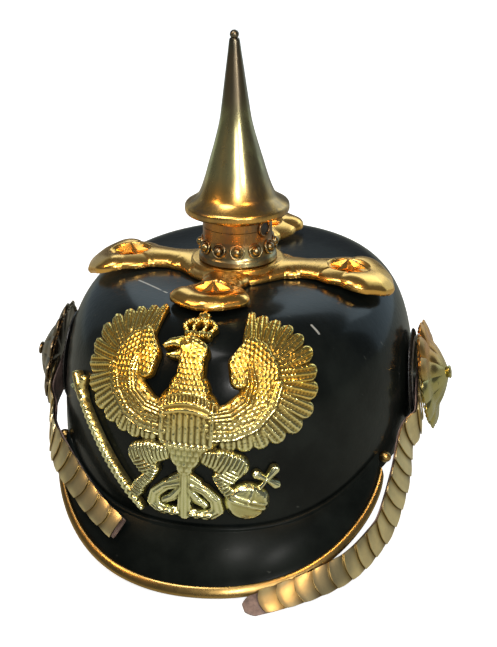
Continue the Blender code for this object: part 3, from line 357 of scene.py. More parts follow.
def spikeFinish():
    # Old brass of collar and spike, streaked upright, with bands of painted reflection by height: olive foot,
    # brown neck, warm flange, olive middle and dark tip
    foot = rgb(0.60, 0.50, 0.24)
    reflectionBands = (                                           # from and to, as heights, and the painted reflection colour above them
        (0.145, 0.149, rgb(0.56, 0.25, 0.06)),
        (0.160, 0.164, rgb(0.84, 0.48, 0.12)),
        (0.172, 0.188, rgb(0.66, 0.59, 0.27)),
        (0.198, 0.234, rgb(0.16, 0.165, 0.12)),
    )
    shade = Shade("spikeBrass", Metallic=1.0)
    patch = shade.noise(42, 5, 0.62, shade.place((1, 1, 0.35)))
    rub = shade.noise(420, 4, 0.6, shade.place((1, 1, 0.2)))
    pits = shade.noise(330, 2).step(0.70, 0.78)
    colour = foot
    for low, high, above in reflectionBands:
        colour = shade.blend(shade.height(low, high), colour, above)
    dark = (patch.step(0.40, 0.60) * 0.8 + pits * 0.5).clip()
    colour = shade.blend(dark, colour, rgb(0.19, 0.14, 0.09))
    roughness = 0.20 + 0.14 * patch.step(0.3, 0.8) + rub * 0.06 + pits * 0.12
    return shade.finish(colour, roughness, ((patch, 0.16, 0.0008), (rub, 0.08, 0.0002)))


def reliefBrassFinish():
    # Cast plate: bright on the ridges, brown and rough in the hollows, with painted light by height
    shade = Shade("castBrass", Metallic=1.0)
    hollow = shade.field("hollow")
    patch = shade.noise(45, 4, 0.6)
    grit = shade.noise(800, 3, 0.6)
    lumps = shade.noise(210, 2, 0.5)
    ridge = hollow.step(0.44, 0.78)
    pocket = 1 - hollow.step(0.14, 0.52)
    # painted light: warm orange towards the top, where warm light falls, pale olive below
    rise = shade.height(0.068, 0.112)
    base = shade.blend(rise, rgb(0.74, 0.74, 0.35), rgb(1.0, 0.58, 0.07))
    base = shade.blend(patch.step(0.38, 0.62) * 0.6, base, rgb(0.46, 0.37, 0.12))
    # ridges rubbed bright, their pale colour also a painted highlight, warmer towards the top as painted light
    crestShineAndHighlight = shade.blend(rise, rgb(1.0, 0.97, 0.60), rgb(1.0, 0.76, 0.24))
    colour = shade.blend(ridge * 0.75, base, crestShineAndHighlight)
    colour = shade.blend(pocket * 0.85, colour, rgb(0.075, 0.055, 0.020))
    roughness = 0.25 + patch * 0.08 + pocket * 0.25 - ridge * 0.12
    return shade.finish(colour, roughness, ((grit, 0.14, 0.0003), (lumps, 0.50, 0.0014)))


def scaleFinish():
    # Pale rubbed brass of the scales, with painted shade towards their roots, where the scale before covers them
    shade = Shade("paleBrass", Metallic=1.0)
    root = shade.field("root")
    patch = shade.noise(70, 4, 0.6)
    rub = shade.noise(500, 3, 0.6, shade.place((1, 1, 0.3)))
    colour = shade.blend(patch.step(0.35, 0.75), rgb(0.90, 0.74, 0.40), rgb(0.66, 0.54, 0.30))
    # painted shade: dark brown at each scale's covered root
    colour = shade.blend(root.step(0.42, 0.98) * 0.85, colour, rgb(0.15, 0.10, 0.045))
    roughness = 0.26 + patch * 0.14 + rub * 0.05
    return shade.finish(colour, roughness, ((rub, 0.10, 0.0002), (patch, 0.15, 0.0008)))


def strapFinish():
    # Old strap leather, pinkish brown in patches where the black has worn off
    shade = Shade("strapLeather")
    cloud = shade.noise(60, 5, 0.65)
    pores = shade.cells(1100)
    colour = shade.blend(cloud.step(0.38, 0.66), rgb(0.045, 0.030, 0.026), rgb(0.30, 0.21, 0.185))
    return shade.finish(colour, 0.50 + cloud * 0.2, ((pores, 0.3, 0.0004), (cloud, 0.3, 0.001)))


def silverFinish():
    # Worn silver paint
    shade = Shade("silverPaint", Metallic=0.9)
    patch = shade.noise(160, 4, 0.6)
    colour = shade.blend(patch.step(0.4, 0.72), rgb(0.70, 0.70, 0.68), rgb(0.34, 0.33, 0.31))
    return shade.finish(colour, 0.32 + patch * 0.2, ((patch, 0.15, 0.0004),))


def cockadeFinish():
    # Black japanned disc
    shade = Shade("cockadeBlack", Coat_Weight=0.3, Coat_Roughness=0.2)
    patch = shade.noise(120, 4, 0.6)
    colour = shade.blend(patch.step(0.4, 0.75), rgb(0.010, 0.010, 0.011), rgb(0.035, 0.034, 0.032))
    return shade.finish(colour, 0.36 + patch * 0.2, ((patch, 0.2, 0.0005),))


crownScratches = (                                      # start and end in plan, and width
    ((-0.049, -0.029), (-0.030, -0.046), 0.0007),
    ((0.049, -0.067), (0.053, -0.070), 0.0008),
)
lacquer = lacquerFinish("lacqueredLeather", 0.31, 0.15, 0.04, crownScratches)
peakLacquer = lacquerFinish("rubbedLeather", 0.09, 0.28, 0.02)
rawLeather = rawLeatherFinish()
spikeBrass = spikeFinish()
# the cross's orange is partly the brass's own tone and partly painted warm light
crossBrass = brassFinish("crossBrass", rgb(0.96, 0.53, 0.13), rgb(0.56, 0.32, 0.10), 0.20, 0.32, 0.4)
trimBrass = brassFinish("trimBrass", rgb(0.47, 0.30, 0.10), rgb(0.22, 0.14, 0.06), 0.20, 0.36)
# the last colour is painted warm light on the rosette's upper part
rosetteBrass = brassFinish("rosetteBrass", rgb(0.54, 0.47, 0.18), rgb(0.20, 0.18, 0.08), 0.14, 0.34, 1.0,
                           rgb(0.78, 0.34, 0.07))
# painted shade: a darker copy of the rosette brass, for the left rosette
shadedRosetteBrass = brassFinish("shadedRosetteBrass", rgb(0.20, 0.15, 0.09), rgb(0.07, 0.055, 0.04), 0.22, 0.42)
castBrass = reliefBrassFinish()
paleBrass = scaleFinish()
strapLeather = strapFinish()
silverPaint = silverFinish()
cockadeBlack = cockadeFinish()
print("materials ready")


# The skull's form, which the other pieces are seated on

skullForm = dict(
    halfWidth=0.0955, halfLength=0.1185, crown=0.0955,
    plan=2.08, side=6.6, top=3.15,          # fullness of the plan and of the upright profile
    wall=0.0025, spikeForward=0.006,
    seam=0.034, seamRise=0.033, backSeam=0.040, backRise=0.014, seamPower=3.6,
    rimDepth=0.008, sideRim=0.046,
    shiftY=float((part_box("skull")[0].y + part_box("skull")[1].y) / 2),
)
form = skullForm                                        # a short name, as most places are worked out from it


def planUnit(angle):
    # Superellipse of radius one, angle from the front, right is positive
    s, c = np.sin(angle), np.cos(angle)
    k = (np.abs(s) ** form["plan"] + np.abs(c) ** form["plan"]) ** (-1 / form["plan"])
    return s * k, -c * k


def profileScale(z, crown):
    # Share of the full plan left at a height: (1 - h^top)^(1/side)
    h = np.clip((z - form["seam"]) / crown, 0, 1)
    return (1 - h ** form["top"]) ** (1 / form["side"])


def skullPoint(angle, z, grow=0.0):
    # Point of the outer face at an angle and a height: the plan times the profile's share
    ux, uy = planUnit(angle)
    scale = profileScale(z, form["crown"] + grow)
    return stack((form["halfWidth"] + grow) * scale * ux, (form["halfLength"] + grow) * scale * uy, z)


def outward(angle):
    # Level normal of the plan, from its gradient
    ux, uy = planUnit(angle)
    power = form["plan"] - 1
    x = np.sign(ux) * np.abs(ux) ** power / form["halfWidth"]
    y = np.sign(uy) * np.abs(uy) ** power / form["halfLength"]
    return unit(stack(x, y, 0.0))


def seamHeight(angle, back=False):
    # Lowest in the middle, rising by the plan's width to a power
    across = np.abs(planUnit(angle)[0]) ** form["seamPower"]
    return form["backSeam"] + form["backRise"] * across if back else form["seam"] + form["seamRise"] * across


def topHeight(x, y):
    # Height of the skull's outer face over a point in plan
    share = np.abs(x / form["halfWidth"]) ** form["plan"] + np.abs(y / form["halfLength"]) ** form["plan"]
    share = np.minimum(share ** (1 / form["plan"]), 0.999)
    return form["seam"] + form["crown"] * (1 - share ** form["side"]) ** (1 / form["top"])


def topNormal(x, y):
    # Normal of that face, from differences over a small step
    step = 0.0005
    dx = topHeight(x + step, y) - topHeight(x - step, y)
    dy = topHeight(x, y + step) - topHeight(x, y - step)
    return unit(stack(-dx, -dy, 2 * step))


def settled(points):
    # Into the frame, whose middle is a little behind the skull's
    return points + np.array([0, form["shiftY"], 0])


def buildSkull():
    # Outer and inner dome joined round the rim, each a grid of angle by rise
    size = dict(around=240, rise=70, crowd=0.35, innerUp=0.0004, lipDown=0.0006)
    angle = np.linspace(0, 2 * pi, size["around"], endpoint=False)[None, :]
    share = np.linspace(0, 1, size["rise"], endpoint=False)[:, None]
    front, back = form["seam"] - form["rimDepth"], form["backSeam"] - form["rimDepth"]
    end = np.where(np.cos(angle) > 0, front, back)
    rim = form["sideRim"] + (end - form["sideRim"]) * np.cos(angle) ** 2
    shells = []
    for grow in (0.0, -form["wall"]):
        top = form["seam"] + form["crown"] + grow
        rise = np.sin(share * pi / 2) ** (2 / form["top"] * (1 - share * size["crowd"]))
        z = rim + (top - rim) * rise
        shells.append(skullPoint(angle, z, grow))
    outer, inner = shells
    inner[0, :, 2] += size["innerUp"]
    edge = (outer[:1] + inner[:1]) / 2
    edge[..., 2] -= size["lipDown"]
    top = form["seam"] + form["crown"]
    count = size["around"] * size["rise"]
    points = np.vstack([outer.reshape(-1, 3), inner.reshape(-1, 3), edge.reshape(-1, 3),
                        [[0, 0, top], [0, 0, top - form["wall"]]]])
    ring = np.arange(size["around"])
    rows = size["rise"], size["around"]
    lower = np.stack([ring, np.roll(ring, -1), 2 * count + np.roll(ring, -1), 2 * count + ring], -1)
    bridge = lower + np.array([count, count, 0, 0])
    faces = [gridFaces(*rows, True), gridFaces(*rows, True, first=count)[:, ::-1], lower[:, ::-1], bridge,
             fanFaces(ring + count - size["around"], 2 * count + size["around"]),
             fanFaces(ring + 2 * count - size["around"], 2 * count + size["around"] + 1, True)]
    inside = np.concatenate([np.full(len(f), k) for f, k in zip(faces, (0, 1, 0, 1, 0, 1))])
    makePiece("skullShell", settled(points), faces, [lacquer, rawLeather], ["skull"],
              60, inside)


buildSkull()


# Front peak and neck guard

peakForm = dict(back=False, half=radians(58.5), reach=0.0196, flare=0.0123, edge=0.0039)
guardForm = dict(back=True, half=radians(60), reach=0.024, flare=0.014, edge=0.0)
visorForm = dict(reachPower=0.25, dropPower=0.28, bulge=0.0015, gap=0.0006, end=0.99, stations=241, rows=15,
                 bead=0.0007, beadWidth=0.0026, beadPower=0.2, beadRows=13, beadShare=0.14,
                 cornerWall=0.3, cornerGain=1.2)


def cornerShare(t, power):
    # Cosine to a power: 1 in the middle, nearly 0 at the corners
    return np.maximum(np.cos(t * pi / 2), 1e-4) ** power


def visorAngle(visor, t):
    # Share of the half angle, counted from the front or from the back
    return pi - t * visor["half"] if visor["back"] else t * visor["half"]


def visorSeam(visor, t):
    # The seam's line, a small gap off the skull
    angle = visorAngle(visor, t)
    return skullPoint(angle, seamHeight(angle, visor["back"])) + outward(angle) * visorForm["gap"]


def visorEdge(visor, t):
    # The skull's plan enlarged by reach and flare, both fading towards the corners
    angle = visorAngle(visor, t)
    ux, uy = planUnit(angle)
    share = cornerShare(t, visorForm["reachPower"])
    foot = seamHeight(visorAngle(visor, np.zeros(1)), visor["back"])
    drop = (foot - visor["edge"]) * cornerShare(t, visorForm["dropPower"])
    z = np.maximum(seamHeight(angle, visor["back"]) - drop, visor["edge"])
    halfWidth = form["halfWidth"] + visor["flare"] * share
    halfLength = form["halfLength"] + visor["reach"] * share
    return stack(halfWidth * ux, halfLength * uy, z)


def visorNormal(visor, t):
    # Upward normal, from the way along seam and edge and the way between them
    step = 0.004
    ahead, behind = np.minimum(t + step, 1), np.maximum(t - step, -1)
    after = visorSeam(visor, ahead) + visorEdge(visor, ahead)
    before = visorSeam(visor, behind) + visorEdge(visor, behind)
    n = unit(np.cross(after - before, visorSeam(visor, t) - visorEdge(visor, t)))
    return np.where(n[..., 2:] > 0, n, -n)


def visorStraight(visor, t):
    # Share of the way from seam to edge at which the trim's straight bed begins
    length = np.linalg.norm(visorEdge(visor, t) - visorSeam(visor, t), axis=-1)
    return 1 - trimForm["margin"] * trimForm["width"] / length


def visorPoint(visor, t, v, lift=0.0):
    # Straight from seam to edge, with a shallow bulge that ends above the trim
    w = np.minimum(v / visorStraight(visor, t), 1)
    bulge = visorForm["bulge"] * 4 * w * (1 - w) * cornerShare(t, visorForm["reachPower"])
    seam, edge = visorSeam(visor, t), visorEdge(visor, t)
    rise = np.asarray(bulge + lift)[..., None]
    return seam + (edge - seam) * np.asarray(v)[..., None] + visorNormal(visor, t) * rise


trimForm = dict(width=0.0058, lip=0.004, wall=0.0008, crown=0.0016, fullness=0.55, nose=0.0004, proud=0.0001,
                margin=1.15, gap=0.0003, end=0.982, stations=261, stud=0.003)


def buildVisor(name, visor, inset, nodes):
    # Sections from seam to edge and back along the underside, with a raised bead along the seam
    t = np.sin(pi / 2 * np.linspace(-1, 1, visorForm["stations"]))[:, None] * visorForm["end"]
    length = np.linalg.norm(visorEdge(visor, t) - visorSeam(visor, t), axis=-1)
    end = 1 - inset / length
    beadRows = np.linspace(0, visorForm["beadShare"], visorForm["beadRows"])
    rows = np.concatenate([beadRows, np.linspace(visorForm["beadShare"], 1, visorForm["rows"])[1:]])[None, :]
    v = rows * end
    run = v * length
    bead = visorForm["bead"] * np.sqrt(np.clip(1 - (2 * run / visorForm["beadWidth"] - 1) ** 2, 0, 1))
    normal = visorNormal(visor, t)
    outer = visorPoint(visor, t, v, bead * cornerShare(t, visorForm["beadPower"]))
    thin = visorForm["cornerWall"] + visorForm["cornerGain"] * cornerShare(t, visorForm["reachPower"])
    thick = form["wall"] * np.minimum(1, thin)
    flat = np.hypot(normal[..., 0], normal[..., 1])
    under = thick * flat / normal[..., 2] / length
    inner = visorPoint(visor, t, under + (end - under) * rows) - normal * thick[..., None]
    inner[:, 0] = visorSeam(visor, t)[:, 0] - stack(0, 0, (thick / normal[..., 2])[:, 0])
    if not inset:
        low = outer[:, -1]
        inner[:, -1] = low - unit(normal[:, 0] * [1, 1, 0]) * (thick / np.maximum(flat, 0.3))
        inner[:, -1, 2] = low[:, 2]
    middle = (outer[:, -1:] + inner[:, -1:]) / 2
    sections = np.concatenate([outer, middle, inner[:, ::-1]], axis=1)
    points, faces = sweepShape(sections)
    side = np.arange(sections.shape[1]) > outer.shape[1] + 1
    inside = np.concatenate([np.tile(side, len(t) - 1), np.zeros(len(faces[1]), bool)])
    makePiece(name, settled(points), faces, [peakLacquer, rawLeather], nodes, 50, inside)


buildVisor("peakLeather", peakForm, trimForm["wall"] + trimForm["gap"], ["front_peak"])
buildVisor("neckGuard", guardForm, 0.0, ["neck_guard"])


def buildTrim():
    # Channel section of straight and rounded stretches, carried round the peak's edge
    width, lip, gap, wall = trimForm["width"], trimForm["lip"], trimForm["gap"], trimForm["wall"]
    drop = trimForm["nose"]
    under = -form["wall"] - gap
    bow = np.linspace(0, pi, 19)
    high = gap + trimForm["crown"] * np.sin(bow) ** trimForm["fullness"]
    over = np.stack([width * (0.5 + 0.5 * np.cos(bow)), high], -1)[:-2]
    nose = np.array([[0.0, gap - drop], [-trimForm["proud"], -2 * drop], [0.0, -form["wall"] / 2 - drop],
                     [0.1 * width, under - wall]])
    fold = np.array([[lip, under - wall], [lip, under], [wall, under], [wall, gap]])
    section = np.vstack([over, nose, fold])
    t = np.sin(pi / 2 * np.linspace(-1, 1, trimForm["stations"])) * trimForm["end"]
    edge = visorEdge(peakForm, t)
    up = unit(visorSeam(peakForm, t) - edge)
    normal = visorNormal(peakForm, t)
    sections = edge[:, None] + up[:, None] * section[None, :, :1] + normal[:, None] * section[None, :, 1:]
    points, faces = sweepShape(sections)
    makePiece("peakTrim", settled(points), faces, trimBrass, ["peak_trim"], 50)


buildTrim()


def smoothLine(knots, count):
    # Monotone blend through knots: cubic pieces with limited slopes
    knots = np.asarray(knots, float)
    s = np.concatenate([[0], np.cumsum(np.linalg.norm(np.diff(knots, axis=0), axis=1))])
    slopes = np.diff(knots, axis=0) / np.diff(s)[:, None]
    tangent = np.vstack([slopes[:1], (slopes[1:] + slopes[:-1]) / 2, slopes[-1:]])
    tangent[1:-1] = np.where(slopes[1:] * slopes[:-1] > 0, tangent[1:-1], 0)
    at = np.linspace(0, s[-1], count)
    k = np.clip(np.searchsorted(s, at, side="right") - 1, 0, len(s) - 2)
    h = (s[k + 1] - s[k])[:, None]
    x = ((at - s[k]) / h[:, 0])[:, None]
    a, b = knots[k], knots[k + 1]
    return (a * (1 + 2 * x) * (1 - x) ** 2 + tangent[k] * h * x * (1 - x) ** 2
            + b * x * x * (3 - 2 * x) + tangent[k + 1] * h * x * x * (x - 1))


def buildStuds():
    # Small domes beside the ends of the trim
    r = trimForm["stud"]
    dome = ((0.8, 0.0), (1.0, 0.5), (0.9, 1.1), (0.5, 1.6), (0.05, 1.8))       # shares of the radius, out and up
    line = smoothLine([(out * r, up * r) for out, up in dome], 14)
    profile = np.vstack([[(0, 0)], line, [(0, 1.8 * r)]])
    for side, word in ((-1, "Left"), (1, "Right")):
        angle = side * (peakForm["half"] + (r + 2 * trimForm["gap"]) / form["halfWidth"])
        points, faces = turnShape(profile, 32)
        seat = skullPoint(angle, seamHeight(angle) - 2 * r) + outward(angle) * trimForm["gap"]
        makePiece("trimStud" + word, settled(standAt(points, seat, outward(angle))), faces, trimBrass,
                  ["trim_stud_" + word.lower()], 60)


buildStuds()


# Plates in relief

def chainRead(circles, x, y):
    # For a chain of circles: depth inside, radius, way along and signed way across
    depth = np.full(x.shape, -1e9)
    near = np.full(x.shape, 1e9)
    size, along, across = np.ones(x.shape), np.zeros(x.shape), np.zeros(x.shape)
    run = 0.0
    for (ax, ay, ar), (bx, by, br) in zip(circles, circles[1:]):
        dx, dy = bx - ax, by - ay
        length = float(np.hypot(dx, dy))
        t = np.clip(((x - ax) * dx + (y - ay) * dy) / length ** 2, 0, 1)
        ex, ey = x - ax - t * dx, y - ay - t * dy
        reach = np.hypot(ex, ey)
        radius = ar + t * (br - ar)
        depth = np.maximum(depth, radius - reach)
        closer = reach - radius < near
        near = np.where(closer, reach - radius, near)
        size = np.where(closer, radius, size)
        raw = ((x - ax) * dx + (y - ay) * dy) / length
        along = np.where(closer, run + raw, along)
        across = np.where(closer, (dx * ey - dy * ex) / length / radius, across)
        run += length
    return depth, size, along, across


def snappedPlate(field, xs, ys, seat, thickness, hollowOf):
    # Grid cells that touch the plate are kept and their outer corners are pulled onto the outline
    rounds, probe, leastSteep = 4, 0.2, 0.25
    gx, gy = np.meshgrid(xs, ys)
    depth = field(gx, gy)
    inside = depth > 0
    low, high = slice(None, -1), slice(1, None)
    corners = ((low, low), (high, low), (low, high), (high, high))
    keep = np.any([inside[corner] for corner in corners], axis=0)
    used = np.zeros(gx.shape, bool)
    for corner in corners:
        used[corner] |= keep
    x, y = gx[used], gy[used]
    outer = ~inside[used]
    pitch = xs[1] - xs[0]
    for _ in range(rounds):
        px, py = x[outer], y[outer]
        e = pitch * probe
        d = field(px, py)
        sx = (field(px + e, py) - field(px - e, py)) / (2 * e)
        sy = (field(px, py + e) - field(px, py - e)) / (2 * e)
        steep = np.maximum(sx ** 2 + sy ** 2, leastSteep)
        hop = np.clip(d / steep, -pitch, pitch)
        x[outer] = px - hop * sx
        y[outer] = py - hop * sy
    order = np.full(gx.shape, -1)
    order[used] = np.arange(used.sum())
    i, j = np.nonzero(keep)
    quads = np.stack([order[i, j], order[i, j + 1], order[i + 1, j + 1], order[i + 1, j]], -1)
    count = len(x)
    thick, hollow = thickness(x, y), hollowOf(x, y)
    points = np.vstack([seat(x, y, thick), seat(x, y, 0.0)])
    edges = np.concatenate([quads[:, [k, (k + 1) % 4]] for k in range(4)])
    keys = edges[:, 0] * count + edges[:, 1]
    back = edges[:, 1] * count + edges[:, 0]
    rim = edges[~np.isin(keys, back)]
    wall = np.stack([rim[:, 1], rim[:, 0], rim[:, 0] + count, rim[:, 1] + count], -1)
    faces = [quads, quads[:, ::-1] + count, wall]
    return points, faces, np.concatenate([hollow, np.zeros(count)])


# Cross under the spike

crossForm = dict(
    radius=0.0805, frontShare=0.87, backShare=0.99, turn=radians(4.5), paddle=0.0213, waist=0.0106,
    hub=0.0244, hubFoot=0.0290, hubThick=0.0062,
    edge=0.0014, swell=0.0046, lift=0.0005, tipLift=0.0044, tipPower=1.5, pitch=0.00048,
    seat=0.0092, seatDepth=0.0024, wall=0.0007,
    # along an arm: share of its reach, then shares of the waist and of the paddle in its half width
    arm=((0.28, 1.75, 0), (0.36, 1.2, 0), (0.46, 1, 0), (0.60, 0, 0.60), (0.74, 0, 0.86)), last=0.82,
    # circles of its blunt end, as shares of the paddle: aside, in from the tip, radius
    end=((-0.56, 0.70, 0.42), (-0.28, 0.49, 0.42), (0.0, 0.42, 0.42), (0.28, 0.49, 0.42),
         (0.56, 0.70, 0.42)),
    star=0.0090, starHeight=0.0042, starFoot=0.0009, starBevel=0.0004, starRays=6, starNotch=0.46,
)


def crownSeat(x, y, h):
    # h above the back of the cross, which is turned a little and rises off the leather beyond its hub
    share = np.maximum(np.hypot(x, y) - crossForm["hub"], 0) / (crossForm["radius"] - crossForm["hub"])
    lift = crossForm["lift"] + crossForm["tipLift"] * share ** crossForm["tipPower"]
    c, s = cos(crossForm["turn"]), sin(crossForm["turn"])
    x, y = x * c + y * s, y * c - x * s - form["spikeForward"]
    return stack(x, y, topHeight(x, y)) + topNormal(x, y) * np.asarray(lift + h)[..., None]


def crownTilt(x, y):
    # Normal of the cross's back, from its differences along and across
    step = 0.0005
    along = crownSeat(x + step, y, 0.0) - crownSeat(x - step, y, 0.0)
    return unit(np.cross(along, crownSeat(x, y + step, 0.0) - crownSeat(x, y - step, 0.0)))


def armChains(reach, ahead, aside):
    # Circles along one arm, then those of its blunt end, each (x, y, radius)
    half = crossForm["paddle"]
    rows = [(r * reach, 0, a * crossForm["waist"] + b * half) for r, a, b in crossForm["arm"]]
    rows.append((reach - crossForm["last"] * half, 0, crossForm["last"] * half))
    ends = [(reach - b * half, a * half, r * half) for a, b, r in crossForm["end"]]
    return [[(u * ahead[0] + v * aside[0], u * ahead[1] + v * aside[1], r) for u, v, r in line]
            for line in (rows, ends)]


def starPlaces():
    # Each star stands half a paddle in from the end of its arm
    side, front, back = (share * crossForm["radius"] - crossForm["paddle"]
                         for share in (1, crossForm["frontShare"], crossForm["backShare"]))
    return ("Front", 0, -front), ("Back", 0, back), ("Left", -side, 0), ("Right", side, 0)


def buildCross():
    # Union of a round hub and four arms; the arms' domes are sqrt(1 - (1 - depth)^2)
    reach, hubFoot = crossForm["radius"], crossForm["hubFoot"]
    sides = armChains(reach, (1, 0), (0, 1))
    ends = (armChains(crossForm["frontShare"] * reach, (0, -1), (1, 0))
            + armChains(crossForm["backShare"] * reach, (0, 1), (1, 0)))

    def parts(x, y):
        # Depth inside each arm and the hub, also as a share; the side arms mirror each other
        for circles, ax in [(line, np.abs(x)) for line in sides] + [(line, x) for line in ends]:
            depth, size = chainRead(circles, ax, y)[:2]
            yield depth, np.clip(depth / size, 0, 1)
        depth = hubFoot - np.hypot(x, y)
        yield depth, np.clip(depth / hubFoot, 0, 1)

    def field(x, y):
        return np.max([depth for depth, _ in parts(x, y)], axis=0)

    def thickness(x, y):
        dome = np.max([np.sqrt(1 - (1 - inner) ** 2) for _, inner in parts(x, y)], axis=0)
        high = crossForm["edge"] + crossForm["swell"] * dome
        floor = crossForm["edge"] + crossForm["swell"] - crossForm["seatDepth"]
        for _, sx, sy in starPlaces():
            fade = np.clip((np.hypot(x - sx, y - sy) - crossForm["seat"]) / crossForm["wall"], 0, 1)
            high = floor + (high - floor) * fade * fade * (3 - 2 * fade)
        fade = np.clip((np.hypot(x, y) - crossForm["hub"]) / crossForm["wall"], 0, 1)
        return crossForm["hubThick"] + (high - crossForm["hubThick"]) * fade

    pitch, reach = crossForm["pitch"], crossForm["radius"] + 0.002
    xs = np.arange(-reach, reach + pitch, pitch)
    points, faces, _ = snappedPlate(field, xs, xs, crownSeat, thickness, lambda x, y: x * 0)
    makePiece("crossPlate", settled(points), faces, crossBrass, ["top_cross"], 75)


def buildStars():
    # Pyramid stars: rays and notches alternate round a raised middle, on a thin foot
    rays, notch = crossForm["starRays"], crossForm["starNotch"]
    floor = crossForm["edge"] + crossForm["swell"] - crossForm["seatDepth"] + 0.0003
    angle = np.arange(2 * rays) * pi / rays
    radius = crossForm["star"] * np.where(np.arange(2 * rays) % 2, notch, 1.0)
    ring = stack(radius * np.cos(angle), radius * np.sin(angle), 0.0)
    high, foot = crossForm["starHeight"], crossForm["starFoot"]
    bevel = foot + crossForm["starBevel"]
    for word, x, y in starPlaces():
        rows = [ring, ring + [0, 0, foot], ring * [0.93, 0.93, 0] + [0, 0, bevel],
                ring * [0.16, 0.16, 0] + [0, 0, high]]
        points = np.vstack(rows + [[[0, 0, 0], [0, 0, high + 0.0002]]])
        count, around = 8 * rays, np.arange(2 * rays)
        caps = [fanFaces(around, count, True), fanFaces(around + 6 * rays, count + 1)]
        faces = [gridFaces(4, 2 * rays, True), np.vstack(caps)]
        place = np.float64(x), np.float64(y)
        points = settled(standAt(points, crownSeat(*place, floor), crownTilt(*place)))
        makePiece("armStar" + word, points, faces, crossBrass, ["arm_star_" + word.lower()], 12)


buildCross()
buildStars()


# Collar, pearls and spike

spikeForm = dict(
    foot=0.0210, neck=0.0186, collar=0.0180, height=0.1296, segments=128,
    pearls=12, pearlTurn=radians(9.5), pearl=0.0025, pearlRing=0.925, pearlLevel=0.46, cup=0.0036, cupWire=0.00065,
    flange=0.0280, flangeLevel=0.0372, rim=0.0042, rimBow=0.0009, shoulder=0.0198, tip=0.0024,
    flare=((0.99, 0.12), (0.95, 0.20), (0.925, 0.34), (0.905, 0.56)),       # shares of foot and collar
    # shares of the shoulder's radius and of the rise from flange to tip
    taper=((0.98, 0.082), (0.88, 0.14), (0.72, 0.257), (0.56, 0.376), (0.43, 0.49), (0.355, 0.60),
           (0.245, 0.776), (0.175, 0.885), (0.148, 0.930), (0.128, 0.951), (0.085, 0.957)),
    vent=0.0040, ventAngle=radians(60), ventLevel=0.0262,
)


def ballShape(radius):
    # Sphere as a turned half circle
    bow = np.linspace(0, pi, 14)
    return turnShape(np.stack([radius * np.sin(bow), -radius * np.cos(bow)], -1), 24)


def ringShape(radius, wire, around, sides, wave=None):
    # Torus; wave(angle) scales its wire
    a = np.linspace(0, 2 * pi, around, endpoint=False)[:, None]
    b = np.linspace(0, 2 * pi, sides, endpoint=False)[None, :]
    w = wire * (wave(a) if wave else 1.0)
    reach = radius + w * np.cos(b)
    points = stack(reach * np.cos(a), reach * np.sin(a), w * np.sin(b) + 0 * a)
    return points.reshape(-1, 3), [gridFaces(around, sides, True, True)]


def spikeBase():
    # Middle of the collar's foot on the cross's hub, and the height of the skull's top
    top = form["seam"] + form["crown"]
    return np.array([0, -form["spikeForward"], top + 0.0007 + crossForm["hubThick"] + 0.0003]), top


def buildCollar():
    # Flared foot with a ring of pearls, each in a wire cup, and a moulded neck
    base, _ = spikeBase()
    foot, neck, high = spikeForm["foot"], spikeForm["neck"], spikeForm["collar"]
    knots = [(r * foot, z * high) for r, z in spikeForm["flare"]] + [(neck, 0.72 * high), (neck, high)]
    lower = smoothLine(knots, 30)
    profile = np.vstack([[(0, 0), (foot, 0), (foot, 0.05 * high), (0.985 * foot, 0.085 * high)], lower,
                         [(0, high)]])
    shapes = [turnShape(profile, spikeForm["segments"])]
    for k in range(spikeForm["pearls"]):
        a = 2 * pi * k / spikeForm["pearls"] + spikeForm["pearlTurn"]
        out = unit(np.array([sin(a), -cos(a), 0.28]))
        level = [0, 0, spikeForm["pearlLevel"] * high]
        centre = np.array([sin(a), -cos(a), 0]) * spikeForm["pearlRing"] * foot + level
        points, faces = ballShape(spikeForm["pearl"])
        shapes.append((points + centre + out * 0.0003, faces))
        points, faces = ringShape(spikeForm["cup"], spikeForm["cupWire"], 32, 8)
        shapes.append((standAt(points, centre + out * 0.0002, out), faces))
    points, faces = joinShapes(shapes)
    makePiece("spikeCollar", settled(points + base), faces, spikeBrass, ["spike_collar"], 50)


def buildSpike():
    # Neck, spreading flange, and a taper that ends in a small knob
    base, top = spikeBase()
    neck, flange = spikeForm["neck"], spikeForm["flange"]
    start = spikeForm["collar"] + 0.0003
    level = spikeForm["flangeLevel"] - (base[2] - top)
    tip = spikeForm["height"] - (base[2] - top)
    rise = tip - level
    rim = spikeForm["rim"]
    foot = level - rim - start
    lower = smoothLine([(neck, start), (neck, start + 0.55 * foot), (1.05 * neck, start + 0.70 * foot),
                        (0.96 * flange, level - 1.02 * rim)], 30)
    bow = np.linspace(-1.35, 1.35, 13)
    out = flange - spikeForm["rimBow"] + spikeForm["rimBow"] * np.cos(bow) ** 0.6
    edge = np.stack([out, level - rim / 2 + rim / 2 * np.sin(bow)], -1)
    taper = [(r * spikeForm["shoulder"], level + z * rise) for r, z in spikeForm["taper"]]
    upper = smoothLine([(0.975 * flange, level + 0.002 * rise), (0.855 * flange, level + 0.024 * rise),
                        (0.745 * flange, level + 0.052 * rise)] + taper, 80)
    bow = np.linspace(-0.8, pi / 2, 14)[:-1]
    knob = np.stack([spikeForm["tip"] * np.cos(bow), tip - spikeForm["tip"] * (1 - np.sin(bow))], -1)
    profile = np.vstack([[(0, start)], lower[:-1], edge, upper, knob, [(0, tip)]])
    points, faces = turnShape(profile, spikeForm["segments"])
    makePiece("spikeShaft", settled(points + base), faces, spikeBrass, ["spike"], 40)


